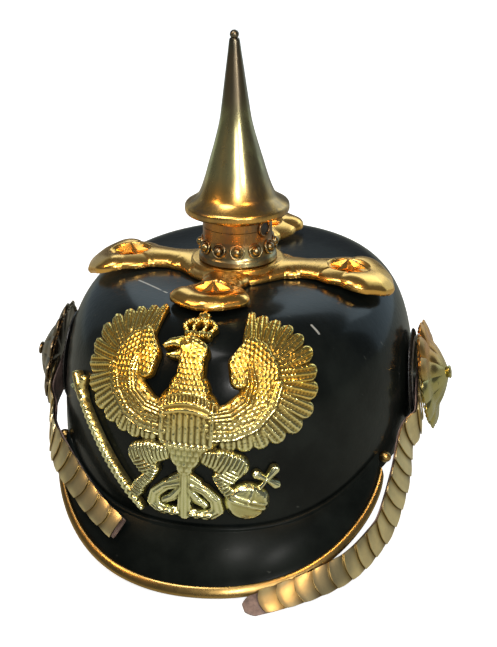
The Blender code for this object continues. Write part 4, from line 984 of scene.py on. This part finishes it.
def buildVent():
    # Small ring round a dark plate, on the spike's neck
    top = spikeBase()[1]
    a, radius = spikeForm["ventAngle"], spikeForm["vent"]
    out = np.array([sin(a), -cos(a), 0])
    seat = np.array([0, -form["spikeForward"], top + spikeForm["ventLevel"]]) + out * (spikeForm["neck"] + 0.0002)
    ring, ringFaces = ringShape(radius, 0.0008, 40, 10)
    cap, capFaces = turnShape([(0, -0.001), (radius, -0.0008), (radius, -0.0002), (0, 0.0003)], 32)
    points, faces = joinShapes([(ring, ringFaces), (cap, capFaces)])
    which = np.concatenate([np.zeros(len(ringFaces[0])), np.ones(sum(len(f) for f in capFaces))])
    makePiece("neckVent", settled(standAt(points, seat, out)), faces, [spikeBrass, cockadeBlack], [], 50,
              which)


buildCollar()
buildSpike()
buildVent()


# Eagle plate

eagleForm = dict(
    span=0.131, height=0.1170, drawingSpan=140, drawingHeight=134, offset=-0.005, tilt=radians(-2),
    lift=0.0006, edge=0.0012, relief=0.0052, shoulder=0.22, pitch=0.46,
    sheetX=(-86, 72), sheetY=(-0.5, 136), cavityReach=3, cavityDepth=0.16,
)
# name, mirrored, level, swell, ornament, circles (along, up, radius) in drawing units
eagleStrokes = (
    ("wingWeb", True, 0.02, 0.08, "fan", ((30, 116, 5.5), (39, 106, 10), (49, 92, 11.5), (51.5, 80, 11.5),
                                         (46, 69, 10.5), (35, 62, 8.5), (24, 59, 6.5))),
    ("hornFeather", True, 0.12, 0.18, "feather", ((29, 100, 5), (24.5, 131.5, 2.2))),
    ("topFeather", True, 0.07, 0.18, "feather", ((33, 100, 5), (31, 126, 3.8))),
    ("upperFeather", True, 0.12, 0.18, "feather", ((36, 98, 5), (38.5, 120, 4.4))),
    ("featherA", True, 0.07, 0.18, "feather", ((38, 97, 4.5), (46, 114, 5.0))),
    ("featherAB", True, 0.12, 0.18, "feather", ((39, 95, 4.5), (53, 106.5, 5.2))),
    ("featherB", True, 0.07, 0.18, "feather", ((40, 92, 4.5), (59, 98, 5.4))),
    ("featherBC", True, 0.12, 0.18, "feather", ((41, 89, 4.5), (62.5, 88, 5.2))),
    ("featherC", True, 0.07, 0.18, "feather", ((42, 86, 4.5), (63.5, 78.5, 5.4))),
    ("featherD", True, 0.12, 0.18, "feather", ((42, 80, 4), (61.5, 68.5, 5.2))),
    ("featherE", True, 0.07, 0.18, "feather", ((40, 75, 4), (55.5, 61.0, 5.2))),
    ("featherF", True, 0.12, 0.18, "feather", ((35, 70, 4), (46.5, 56.3, 5.0))),
    ("featherFG", True, 0.07, 0.18, "feather", ((32, 68, 4), (38, 53.8, 4.8))),
    ("featherG", True, 0.12, 0.18, "feather", ((28, 66, 4), (30, 52.6, 4.8))),
    ("featherH", True, 0.07, 0.18, "feather", ((20, 64, 4), (21.5, 52.3, 4.8))),
    ("wingArm", True, 0.28, 0.24, "plumes", ((12, 62, 9.5), (24, 66.5, 9.5), (34, 76, 9.5), (37, 90, 9.5),
                                            (31, 102, 8))),
    ("shoulder", True, 0.36, 0.26, "plumes", ((25.5, 88, 5.6), (24.5, 97, 6.6), (28, 107, 4.6))),
    ("ribbon", True, 0.58, 0.06, "ribbon", ((13, 57, 3.3), (24, 58, 3.3), (34.5, 63, 3.3), (42, 72.5, 3.3),
                                           (45, 84, 3))),
    ("innerFold", True, 0.60, 0.10, "fold", ((12, 67.5, 3), (22, 69.5, 3.6), (29.5, 75.5, 3.6), (31.5, 85, 3.2),
                                            (29.5, 93, 2.4))),
    ("neck", False, 0.50, 0.36, "chest", ((0, 99, 7.4), (0, 88, 8), (0, 80, 11.5), (0, 73, 15))),
    ("breast", False, 0.46, 0.24, "chest", ((0, 68, 17), (0, 58, 17.3))),
    ("belly", False, 0.42, 0.26, "chest", ((0, 52, 14), (0, 44, 9), (0, 37, 5))),
    ("thigh", True, 0.40, 0.28, "ribs", ((12, 44, 5), (19, 42.4, 7.6), (25.5, 39.6, 7.6), (22, 33.4, 5.4))),
    ("leg", True, 0.38, 0.22, "ribs", ((18, 33, 4.2), (20.5, 27, 3.5), (25, 21.5, 3.8), (27, 17, 4.2))),
    ("tailStem", False, 0.40, 0.24, "groove", ((0, 40, 3.6), (0, 27, 3), (0, 14, 4.4), (0, 8.6, 4))),
    ("tailRoot", True, 0.30, 0.20, "groove", ((0, 31.5, 4), (6.5, 28, 3))),
    ("tailScroll", True, 0.32, 0.24, "curl", ((4, 27, 3), (10.5, 24.3, 3.2), (16, 18.6, 3.4), (17.2, 12.2, 3.8),
                                             (13.2, 9.2, 3.4), (8, 9, 3.2), (4, 9, 3))),
    ("tailLeaf", True, 0.30, 0.26, "groove", ((2, 24, 2.6), (6.4, 18, 2.7), (10.6, 15.4, 2.2))),
    ("head", False, 0.62, 0.34, "head", ((-2.5, 104, 6.2), (1.5, 101, 7))),
    ("upperBeak", False, 0.56, 0.26, "plain", ((-7, 105.4, 3.6), (-12, 104.2, 2.6), (-15.4, 101.6, 1.3))),
    ("lowerBeak", False, 0.50, 0.18, "plain", ((-6, 99.2, 3), (-10.6, 97.6, 1.8), (-13.4, 97.2, 1))),
    ("crownBand", False, 0.52, 0.14, "beads", ((-5.6, 111.3, 2), (5.6, 111.3, 2))),
    ("crownSide", True, 0.44, 0.12, "beads", ((6, 113, 1.3), (8.6, 117.2, 1.3), (6, 121.4, 1.3),
                                             (0, 123, 1.5))),
    ("crownRib", True, 0.44, 0.12, "beads", ((2.3, 113, 1.1), (3.3, 117.5, 1.1), (1, 122, 1.1))),
    ("crownPost", False, 0.44, 0.12, "plain", ((0, 123, 1.3), (0, 130.4, 1.2))),
    ("crownBar", False, 0.44, 0.12, "plain", ((-2.2, 127.6, 1.1), (2.2, 127.6, 1.1))),
    ("sceptre", False, 0.50, 0.18, "rope", ((-23.5, 6.4, 1.2), (-30, 13, 2.4), (-45, 28.5, 2.5), (-60, 45, 2.4),
                                           (-72, 57, 2.3))),
    ("sceptreHead", False, 0.50, 0.22, "leaf", ((-72, 57, 3.6), (-80, 65, 3.2))),
    ("sceptreLeafIn", False, 0.40, 0.18, "leaf", ((-73, 60, 1.9), (-72, 67, 1.7))),
    ("sceptreLeafOut", False, 0.40, 0.18, "leaf", ((-77, 58, 1.9), (-83, 58, 1.7))),
    ("orb", False, 0.36, 0.62, "orb", ((32, 18, 11.8), (32.2, 18, 11.8))),
    ("orbPost", False, 0.36, 0.12, "leaf", ((37.6, 25.6, 2.0), (41.8, 31.2, 1.2), (46.0, 36.8, 2.8))),
    ("orbBar", False, 0.36, 0.12, "leaf", ((36.6, 34.6, 2.7), (41.8, 31.2, 1.2), (46.8, 27.6, 2.7))),
)


def plumeRows(along, across, row, width, depth):
    # Staggered small feathers: each rises to its free end and drops
    u = along / row
    k = np.floor(u)
    rise = u - k
    v = across / width + 0.5 * (k % 2)
    side = v - np.floor(v) - 0.5
    return depth * (1 - (2 * side) ** 2) * (0.35 + 0.65 * rise) * np.clip((1 - rise) * 6, 0, 1)


def ridge(offset, width):
    # Rounded line where the offset is near nought
    return np.exp(-(offset / width) ** 2)


def ornament(kind, along, across, size, x, y):
    # Fine relief of one stroke, as a share of the plate's relief; lengths are in drawing units
    if kind == "feather":
        barbs = 0.012 * np.cos(2 * pi * (along / 2.2 - np.abs(across) * 1.1))
        return 0.06 * np.cos(2 * pi * across * 1.5) + barbs
    if kind == "fan":
        return 0.04 * np.cos(46 * np.arctan2(y - 88, x - 26))
    if kind == "plumes":
        return plumeRows(-along, across * size, 2.8, 2.5, 0.13)
    if kind == "ribbon":
        pellet = np.clip(1 - (((along % 2.6) - 1.3) ** 2 + (across * size) ** 2), 0, 1)
        border = 0.11 * ridge(np.abs(across) - 0.82, 0.12)
        return border + 0.09 * np.sqrt(pellet) - 0.05 * (np.abs(across) < 0.7)
    if kind == "fold":
        return 0.09 * np.cos(2 * pi * across * 1.6)
    if kind == "chest":
        arch = 76.5 - 0.022 * x * x - y
        collar = 0.12 * (ridge(arch + 2.6, 0.6) + ridge(arch - 2.6, 0.7) + ridge(arch - 6.2, 0.8))
        ticks = 0.07 * np.cos(2 * pi * x / 1.9) * (np.abs(arch) < 2.0)
        above = plumeRows(-y, x, 2.6, 2.3, 0.13) * (arch < -3.2)
        sides = 0.13 * ridge(np.abs(x) - 13.4, 0.9) * (arch > 3) * (y > 50)
        foot = 0.12 * ridge(y - 50.6, 0.8) * (np.abs(x) < 13)
        bars = (0.05 * np.cos(2 * pi * x / 3.1) - 0.10) * (arch > 7.6) * (np.abs(x) < 12.2)
        below = plumeRows(-y, x, 3.2, 3.0, 0.10) * (y < 50)
        return collar + ticks + above + np.where(y > 50, bars, 0) + (sides + foot) + below
    if kind == "ribs":
        return 0.075 * np.cos(2 * pi * (along / 2.1 + 0.25 * across ** 2))
    if kind == "groove":
        return 0.07 * np.cos(2 * pi * across * 0.9) - 0.10 * ridge(across, 0.14)
    if kind == "curl":
        bead = np.clip(1 - (((along - 20) % 4.4 - 2.2) ** 2 + (across * size) ** 2) / 3.4, 0, 1)
        return 0.05 * np.cos(2 * pi * across) + np.where(along > 24, 0.16 * np.sqrt(bead), 0)
    if kind == "head":
        eye = np.hypot(x + 4.2, y - 105.6)
        nape = plumeRows(x, y, 2.6, 2.4, 0.08) * (x > -1)
        return 0.16 * ridge(eye, 0.8) - 0.14 * ridge(eye - 1.8, 0.5) + nape
    if kind == "beads":
        return 0.10 * np.cos(2 * pi * along / 2.2)
    if kind == "rope":
        return 0.08 * np.cos(2 * pi * (along / 3.3 + across * 0.5)) + 0.03 * np.cos(2 * pi * across * 1.5)
    if kind == "leaf":
        return 0.09 * ridge(across, 0.22)
    if kind == "orb":
        tilt = (y - 18) * 0.94 + (x - 32) * 0.34
        band = ridge(tilt - 2.4, 0.7) + ridge(tilt + 0.6, 0.7)
        upright = ridge((x - 32) - 0.30 * (y - 18), 0.8) * (tilt > 0.6)
        return 0.08 * (band + upright)
    return 0 * x


def eagleRelief(x, y):
    # Highest of the strokes at each point; each stroke is a raised step with a domed top
    relief = np.zeros(x.shape)
    for _, mirrored, level, swell, kind, circles in eagleStrokes:
        sx = np.abs(x) if mirrored else x
        depth, size, along, across = chainRead(circles, sx, y)
        inner = np.clip(depth / size, 0, 1)
        fine = ornament(kind, along, across, size, sx, y) * np.clip(depth / 1.1, 0, 1)
        shoulder, dome = np.clip(inner / eagleForm["shoulder"], 0, 1), np.sqrt(1 - (1 - inner) ** 2)
        high = level * shoulder + swell * dome + fine
        relief = np.maximum(relief, np.where(depth > 0, np.maximum(high, 0), 0))
    return relief


def eagleDepth(x, y):
    # Greatest depth inside any stroke
    best = np.full(x.shape, -1e9)
    for _, mirrored, _, _, _, circles in eagleStrokes:
        best = np.maximum(best, chainRead(circles, np.abs(x) if mirrored else x, y)[0])
    return best


def blurred(grid, reach):
    # Mean over a square window, by running sums along both ways
    for axis in (0, 1):
        padded = np.pad(grid, [(reach + 1, reach) if k == axis else (0, 0) for k in (0, 1)], mode="edge")
        run = np.cumsum(padded, axis=axis)
        size = grid.shape[axis]
        grid = (np.take(run, np.arange(2 * reach + 1, 2 * reach + 1 + size), axis)
                - np.take(run, np.arange(size), axis)) / (2 * reach + 1)
    return grid


def buildEagle():
    # The drawing is unrolled on the skull: arc lengths up the front and round the plan
    quarter = np.linspace(0, pi / 2, 401)
    heights = form["crown"] * np.sin(quarter) ** (2 / form["top"])
    inward = form["halfLength"] * (1 - np.cos(quarter) ** (2 / form["side"]))
    up = np.concatenate([[0], np.cumsum(np.hypot(np.diff(heights), np.diff(inward)))])
    section = np.stack(planUnit(quarter), -1) * (form["halfWidth"], form["halfLength"])
    around = np.concatenate([[0], np.cumsum(np.hypot(*np.diff(section, axis=0).T))])
    unitX = eagleForm["span"] / eagleForm["drawingSpan"]
    unitY = eagleForm["height"] / eagleForm["drawingHeight"]
    middle, tilt = eagleForm["height"] / 2, eagleForm["tilt"]

    def unrolled(x, y):
        u, w = x * unitX, y * unitY - middle
        u, w = u * cos(tilt) - w * sin(tilt) + eagleForm["offset"], u * sin(tilt) + w * cos(tilt) + middle
        z = form["seam"] + np.interp(w, up, heights)
        angle = np.interp(np.abs(u) / profileScale(z, form["crown"]), around, quarter)
        return skullPoint(np.sign(u) * angle, z)

    def seat(x, y, h):
        step = 0.4
        along = unrolled(x + step, y) - unrolled(x - step, y)
        n = np.cross(along, unrolled(x, y + step) - unrolled(x, y - step))
        return unrolled(x, y) + unit(n) * (eagleForm["lift"] + np.broadcast_to(h, x.shape))[..., None]

    pitch = eagleForm["pitch"]
    xs = np.arange(*eagleForm["sheetX"], pitch)
    ys = np.arange(*eagleForm["sheetY"], pitch)
    gx, gy = np.meshgrid(xs, ys)
    relief = eagleRelief(gx, gy)
    sunk = relief - blurred(relief, eagleForm["cavityReach"])
    cavity = np.clip(0.5 + sunk / eagleForm["cavityDepth"], 0, 1)

    def hollowOf(x, y):
        return cavity[np.clip(np.rint((y - ys[0]) / pitch).astype(int), 0, len(ys) - 1),
                      np.clip(np.rint((x - xs[0]) / pitch).astype(int), 0, len(xs) - 1)]

    def thickness(x, y):
        return eagleForm["edge"] + eagleForm["relief"] * eagleRelief(x, y)

    points, faces, hollow = snappedPlate(eagleDepth, xs, ys, seat, thickness, hollowOf)
    makePiece("eaglePlate", settled(points), faces, castBrass, ["eagle_plate"], 60,
              fields=dict(hollow=hollow))


buildEagle()


# Cockades, rosettes, chin scales

sideForm = dict(
    level=0.0712, forward=0.002, standoff=0.0007, gap=0.0003,
    cockade=0.025, cockadeThick=0.0012, pleats=56, pleat=0.00018, ring=0.0195, ringWidth=0.003, ringThick=0.0006,
    rosette=0.0300, depth=0.0135, tilt=radians(6), seat=0.0032, lobes=12, notch=0.10, knob=0.0028,
    # shares of the cockade's radius and thickness, from its middle round its edge
    disc=((0.02, 1.0), (0.3, 1.0), (0.6, 1.0), (0.75, 1.0), (0.85, 1.0), (0.93, 0.97), (0.98, 0.8), (1.0, 0.5),
          (1.0, 0.0), (0.9, 0.0)),
    # shares of the rosette's radius and depth, then of the knob's width and the depth
    cone=((1.0, 0.08), (0.86, 0.22), (0.62, 0.34), (0.46, 0.55), (0.26, 0.74)),
    head=((1.05, 0.87), (1.25, 0.90), (1.3, 0.94), (1.1, 0.98), (0.5, 1.0)),
)
strapForm = dict(
    leather=0.0014, scale=0.0020, root=0.45, pitch=0.0098, start=0.0135, rootWidth=0.026, endWidth=0.0125,
    tab=0.009, plate=0.0008, bulge=0.0022, steps=24,
)
# Stops of the straps' routes: over, along, across, out, lean, turn. Out is the distance from the leather or
# the edge, lean and turn are degrees, and along and across depend on what the strap runs over. The skull:
# degrees from the front, and height as a share of the side's level. The peak: share of its half angle, and
# of the way from seam to edge. Beside the edge: share of the half angle, and height in end widths.
leftRoute = (
    ("skull", 68, 0.73, 0.0092, 4, 18),
    ("skull", 56, 0.73, 0.0112, 8, 26),
    ("peak", 0.78, 0.12, 0.0092, 0, 0),
    ("peak", 0.58, 0.225, 0.0060, 0, 0),
    ("peak", 0.405, 0.335, 0.0052, 0, 0),
)
rightRoute = (
    ("skull", 71.5, 0.713, 0.0066, 3, 8),
    ("skull", 63.5, 0.529, 0.0104, 0, 18),
    ("edge", 0.945, 1.80, 0.0072, 0, 16),
    ("edge", 0.85, 1.36, 0.0070, 6, 12),
    ("edge", 0.70, 1.00, 0.0080, 18, 6),
    ("edge", 0.54, 0.80, 0.0079, 36, 0),
    ("edge", 0.38, 0.62, 0.0077, 52, 0),
    ("edge", 0.22, 0.48, 0.0095, 62, 0),
)


def sideSeat(side):
    # A point on the skull's side and the normal there
    angle = side * (pi / 2 - sideForm["forward"] / form["halfLength"])
    rise = skullPoint(angle, sideForm["level"] + 0.002) - skullPoint(angle, sideForm["level"] - 0.002)
    n = outward(angle)
    return skullPoint(angle, sideForm["level"]), unit(n - rise * (n @ rise) / (rise @ rise))


def sideStack():
    # Thickness of the cockade and its ring, with their gaps
    return sideForm["cockadeThick"] + sideForm["ringThick"] + 3 * sideForm["gap"] + sideForm["standoff"]


def buildCockade(side, word):
    # Disc whose face is lowered by cos(pleats * angle) - 1, and a flat ring on it
    seat, normal = sideSeat(side)
    radius, thick = sideForm["cockade"], sideForm["cockadeThick"]
    around = 8 * sideForm["pleats"]
    disc = np.array(sideForm["disc"])
    share, high = disc[:, :1], disc[:, 1:] * thick
    angle = np.linspace(0, 2 * pi, around, endpoint=False)[None, :]
    wave = sideForm["pleat"] * (np.cos(sideForm["pleats"] * angle) - 1)
    pleat = wave * np.clip(share * 1.4, 0, 1) * (high > 0.3 * thick)
    rings = stack(radius * share * np.cos(angle), radius * share * np.sin(angle), high + pleat)[::-1]
    points = np.vstack([rings.reshape(-1, 3), [[0, 0, 0], [0, 0, thick]]])
    count, ends = rings.shape[0] * around, np.arange(around)
    caps = [fanFaces(ends, count, True), fanFaces(ends + count - around, count + 1)]
    faces = [gridFaces(rings.shape[0], around, True), np.vstack(caps)]
    makePiece("cockade" + word, settled(standAt(points, seat + normal * sideForm["standoff"], normal)), faces,
              cockadeBlack, ["cockade_" + word.lower()], 40)
    half, ring = sideForm["ringWidth"] / 2, sideForm["ringThick"]
    points, faces = ringShape(sideForm["ring"], half, 160, 12)
    points[:, 2] = np.maximum(points[:, 2] * ring / half, 0)
    back = sideForm["standoff"] + thick + sideForm["gap"]
    makePiece("cockadeRing" + word, settled(standAt(points, seat + normal * back, normal)), faces,
              silverPaint, ["cockade_ring_" + word.lower()], 60)


def buildRosette(side, word, brass):
    # Turned cone and knob, notched by 1 - |cos(lobes / 2 * angle)|^0.7, on a corded ring
    seat, normal = sideSeat(side)
    back = sideStack() + strapForm["leather"] + sideForm["gap"] + sideForm["seat"]
    r, d, knob, lobes = sideForm["rosette"], sideForm["depth"], sideForm["knob"], sideForm["lobes"]
    cone = smoothLine([(a * r, b * d) for a, b in sideForm["cone"]] + [(1.15 * knob, 0.85 * d)], 40)
    head = [(a * knob, b * d) for a, b in sideForm["head"]]
    profile = np.vstack([[(0, 0), (0.96 * r, 0), (0.995 * r, 0.03 * d)], cone, head, [(0, d)]])

    def petals(a, rad):
        deep = sideForm["notch"] * 1.5 * np.clip(rad / r, 0, 1) ** 1.4 * (rad > 1.4 * knob)
        return 1 - deep * (1 - np.abs(np.cos(lobes / 2 * a)) ** 0.7)

    cord, cordFaces = ringShape(0.90 * r, 0.0008, 352, 8, lambda a: 0.72 + 0.28 * np.cos(44 * a))
    cord = cord * [1, 1, 0.8] - [0, 0, 0.0004]
    points, faces = joinShapes([turnShape(profile, 24 * lobes, petals), (cord, cordFaces)])
    tilted = np.array(Matrix.Rotation(-side * sideForm["tilt"], 3, "Y") @ Vector(normal))
    makePiece("rosette" + word, settled(standAt(points, seat + normal * back, tilted)), faces, brass,
              ["rosette_" + word.lower()], 30)


def routeStop(stop, side):
    # Place and outward normal of one stop of a strap's route
    over, along, across, out, lean, turn = stop
    if over == "peak":
        t = np.full(1, side * along)
        return visorPoint(peakForm, t, np.full(1, across), out)[0], visorNormal(peakForm, t)[0]
    if over == "skull":
        angle = side * radians(along)
        p = skullPoint(angle, across * sideForm["level"]) + outward(angle) * out
    else:
        t = np.full(1, side * along)
        angle = visorAngle(peakForm, t)[0]
        p = visorEdge(peakForm, t)[0] + outward(angle) * out
        p[2] = across * strapForm["endWidth"]
    away = outward(angle - side * radians(turn))
    return p, unit(away * cos(radians(lean)) + np.array([0, 0, sin(radians(lean))]))


def strapRoute(side, route):
    # Catmull-Rom curve through the rosette's middle and the stops, read by its length
    seat, normal = sideSeat(side)
    first = seat + normal * (sideStack() + strapForm["leather"] + sideForm["gap"] + strapForm["scale"])
    stops = [routeStop(stop, side) for stop in route]
    away = stops[0][0] - first
    away = unit(away - normal * (away @ normal))
    lead = [(first + away * share * sideForm["rosette"], normal) for share in (0, 0.55, 1.1)]
    p = np.array([q for q, _ in lead + stops])
    n = np.array([m for _, m in lead + stops])
    p = np.vstack([2 * p[0] - p[1], p, 2 * p[-1] - p[-2]])
    n = np.vstack([n[0], n, n[-1]])
    t = np.linspace(0, 1, strapForm["steps"], endpoint=False)[:, None]
    weights = (-t + 2 * t ** 2 - t ** 3, 2 - 5 * t ** 2 + 3 * t ** 3, t + 4 * t ** 2 - 3 * t ** 3,
               -t ** 2 + t ** 3)
    spans = range(1, len(p) - 2)
    curve = [sum(w * p[k + i - 1] for i, w in enumerate(weights)) / 2 for k in spans]
    curve = np.vstack(curve + [p[-2]])
    normals = np.vstack([(1 - t) * n[k] + t * n[k + 1] for k in spans] + [n[-2]])
    run = np.concatenate([[0], np.cumsum(np.linalg.norm(np.diff(curve, axis=0), axis=1))])

    def read(s, values):
        return np.stack([np.interp(s, run, values[:, k]) for k in range(3)], -1)

    def at(s):
        ahead = unit(read(s + 0.002, curve) - read(s - 0.002, curve))
        m = read(s, normals)
        m = unit(m - ahead * (m * ahead).sum(-1, keepdims=True))
        return read(s, curve), m, np.cross(ahead, m)

    return at, float(run[-1])


def strapWidth(s, length):
    # Narrows from root to end by (1 - share)^1.6
    share = np.clip(s / length, 0, 1)
    return strapForm["endWidth"] + (strapForm["rootWidth"] - strapForm["endWidth"]) * (1 - share) ** 1.6


def buildScales(side, word, route, tab):
    # Curved plates, each over the root of the next, rising to their free ends and dropping at their sides
    at, length = strapRoute(side, route)
    end = length - tab
    count = int((end - strapForm["start"]) // strapForm["pitch"])
    pitch = (end - strapForm["start"]) / count
    across = np.linspace(-1, 1, 21)[:, None]
    down = np.linspace(0, 1, 13)[None, :]
    shapes, rootShade = [], []
    for k in range(count):
        square = k == count - 1 and not tab              # without a tab the last scale ends straight
        bow = strapForm["bulge"] * (1 - across ** 2) * (0.0 if square else 1.0)
        s = strapForm["start"] + k * pitch - 0.0010 + down * (pitch + 0.0002 + bow)
        centre, normal, aside = at(s)
        half = strapWidth(s, length) / 2 * (0.965 + 0.05 * np.sin(down * pi * 0.85) ** 2)
        rise = strapForm["scale"] * (strapForm["root"] + (1 - strapForm["root"]) * down ** 0.8)
        crown = 1 - 0.42 * np.abs(across) ** 2.6
        lip = 0.00022 * np.clip((down - 0.86) / 0.14, 0, 1)
        high = rise * crown + lip - strapForm["scale"]
        top = centre + aside * (across * half)[..., None] + normal * high[..., None]
        plate = strapForm["plate"] * (0.45 + 0.55 * down)
        low = top - normal * (plate + 0 * across)[..., None]
        shapes.append(sweepShape(np.concatenate([top, low[:, ::-1]], axis=1)))
        # painted shade share for the material: 1 at each scale's covered root, 0 at its free end, 1 underneath
        flat = np.concatenate([1 - down + 0 * across, np.ones_like(low[..., 0])], axis=1)
        rootShade.append(np.concatenate([flat.ravel(), [1, 1]]))
    points, faces = joinShapes(shapes)
    makePiece("chinScales" + word, settled(points), faces, paleBrass, ["chin_scales_" + word.lower()],
              35, fields=dict(root=np.concatenate(rootShade)))


def buildStrap(side, word, route, tab):
    # Leather under the scales: a flat section with rounded edges, and a rounded tab where one is given
    at, length = strapRoute(side, route)
    s = np.concatenate([np.linspace(0, length, 180), [length + 0.0004]])
    centre, normal, aside = at(s)
    half = 0.46 * strapWidth(s, length)
    fade = np.sqrt(np.clip((length + 0.0008 - s) / 0.005, 0.02, 1)) if tab else np.ones(len(s))
    bow = np.linspace(0, 2 * pi, 24, endpoint=False)
    u = np.sign(np.cos(bow)) * np.abs(np.cos(bow)) ** 0.35
    w = np.sign(np.sin(bow)) * np.abs(np.sin(bow)) ** 0.8
    middle = centre - normal * (strapForm["scale"] + sideForm["gap"] + strapForm["leather"] / 2)
    sections = (middle[:, None] + aside[:, None] * (u[None, :] * (half * fade)[:, None])[..., None]
                + normal[:, None] * (w * strapForm["leather"] / 2)[None, :, None])
    points, faces = sweepShape(sections)
    makePiece("chinStrap" + word, settled(points), faces, strapLeather, ["chin_strap_" + word.lower()],
              50)


# the left rosette takes the painted-shade copy of the rosette brass
for side, word, route, tab, brass in ((-1, "Left", leftRoute, 0.0, shadedRosetteBrass),
                                      (1, "Right", rightRoute, strapForm["tab"], rosetteBrass)):
    buildCockade(side, word)
    buildRosette(side, word, brass)
    buildScales(side, word, route, tab)
    buildStrap(side, word, route, tab)


# Stage, light and camera

viewForm = dict(azimuth=10.81, elevation=21.44, distance=0.8651, focal=1575.7, centreX=240.3, centreY=305.2,
                roll=-0.93, aimHeight=0.106, wide=497, high=647)
lightForm = dict(
    # azimuth, elevation, distance, width, height, radiance, colour
    key=(-42, 66, 1.3, 0.50, 0.50, 7.5, (1.0, 0.98, 0.95)),
    flash=(13, 27, 0.95, 0.05, 0.06, 190.0, (1.0, 0.98, 0.95)),
    spark=(34, 17, 0.95, 0.04, 0.07, 190.0, (1.0, 0.99, 0.95)),
    front=(14, 38, 1.00, 0.30, 0.80, 1.8, (1.0, 0.98, 0.94)),
    warm=(44, 52, 1.1, 0.14, 0.22, 27.0, (1.0, 0.62, 0.26)),
    glow=(-58, 40, 1.1, 0.14, 0.30, 18.0, (1.0, 0.62, 0.26)),
    rim=(172, 34, 1.5, 1.8, 0.5, 1.7, (0.72, 0.90, 1.0)),
    left=(-132, 12, 1.2, 0.7, 0.9, 0.30, (0.62, 0.84, 1.0)),
    right=(140, 18, 1.2, 0.8, 0.9, 0.85, (0.62, 0.84, 1.0)),
)
stageForm = dict(half=6, level=-0.0006, sky=(0.78, 0.86, 0.95, 1), skyStrength=0.11)


def buildStage():
    # Plain pale floor
    half, level = stageForm["half"], stageForm["level"]
    corners = ((-half, -half), (half, -half), (half, half), (-half, half))
    points = np.array([(x, y, level) for x, y in corners], float)
    mesh = bpy.data.meshes.new("floor")
    mesh.from_pydata(points.tolist(), [], [(0, 1, 2, 3)])
    shade = Shade("paleFloor", Roughness=0.9)
    cloud = shade.noise(2.0, 2)
    pale = shade.blend(cloud, rgb(0.90, 0.90, 0.90), rgb(0.93, 0.93, 0.93))
    seen = shade.add("ShaderNodeLightPath")             # mirrored in the varnish it is a dim grey
    shade.plug(shade.surface.inputs["Emission Color"], shade.blend(seen, rgb(0.24, 0.26, 0.21), pale))
    shade.surface.inputs["Emission Strength"].default_value = 0.95
    mesh.materials.append(shade.finish(shade.blend(seen, rgb(0.20, 0.19, 0.18), pale)))
    floor = bpy.data.objects.new("floor", mesh)
    bpy.context.scene.collection.objects.link(floor)
    floor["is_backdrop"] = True


def aroundHelmet(azimuth, elevation, distance, height):
    # Place at a distance from a point over the origin, and the direction from that point to it
    a, e = radians(azimuth), radians(elevation)
    back = Vector((sin(a) * cos(e), -cos(a) * cos(e), sin(e)))
    return Vector((0, 0, height)) + back * distance, back


def buildLights():
    # Rectangular lamps that face the helmet; energy is radiance times area times pi
    for name, (azimuth, elevation, distance, wide, high, radiance, colour) in lightForm.items():
        data = bpy.data.lights.new(name, "AREA")
        data.shape = "RECTANGLE"
        data.size, data.size_y = wide, high
        data.energy = radiance * wide * high * pi
        data.color = colour
        lamp = bpy.data.objects.new(name, data)
        place, back = aroundHelmet(azimuth, elevation, distance, 0.1)
        lamp.location = place
        lamp.rotation_euler = back.to_track_quat("Z", "Y").to_euler()
        bpy.context.scene.collection.objects.link(lamp)
    world = bpy.data.worlds.new("studio")
    world.use_nodes = True
    background = world.node_tree.nodes["Background"]
    background.inputs["Color"].default_value = stageForm["sky"]
    background.inputs["Strength"].default_value = stageForm["skyStrength"]
    bpy.context.scene.world = world
    bpy.context.scene.view_settings.view_transform = "Standard"


def buildCamera():
    # Focal length and centre are in pixels: lens = focal / long side * sensor width
    data = bpy.data.cameras.new("photoCamera")
    camera = bpy.data.objects.new("photoCamera", data)
    bpy.context.scene.collection.objects.link(camera)
    place, back = aroundHelmet(viewForm["azimuth"], viewForm["elevation"], viewForm["distance"],
                               viewForm["aimHeight"])
    camera.location = place
    turn = back.to_track_quat("Z", "Y").to_matrix() @ Matrix.Rotation(radians(viewForm["roll"]), 3, "Z")
    camera.rotation_euler = turn.to_euler()
    longSide = viewForm["high"]
    data.sensor_fit = "AUTO"
    data.sensor_width = 36.0
    data.lens = viewForm["focal"] / longSide * data.sensor_width
    data.shift_x = (viewForm["wide"] / 2 - viewForm["centreX"]) / longSide
    data.shift_y = (viewForm["centreY"] - viewForm["high"] / 2) / longSide
    data.clip_end = 50
    bpy.context.scene.camera = camera


buildStage()
buildLights()
buildCamera()

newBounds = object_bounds()
str([[[round(float(c), 5) for c in corner] for corner in box] for box in (cadBounds, newBounds)])
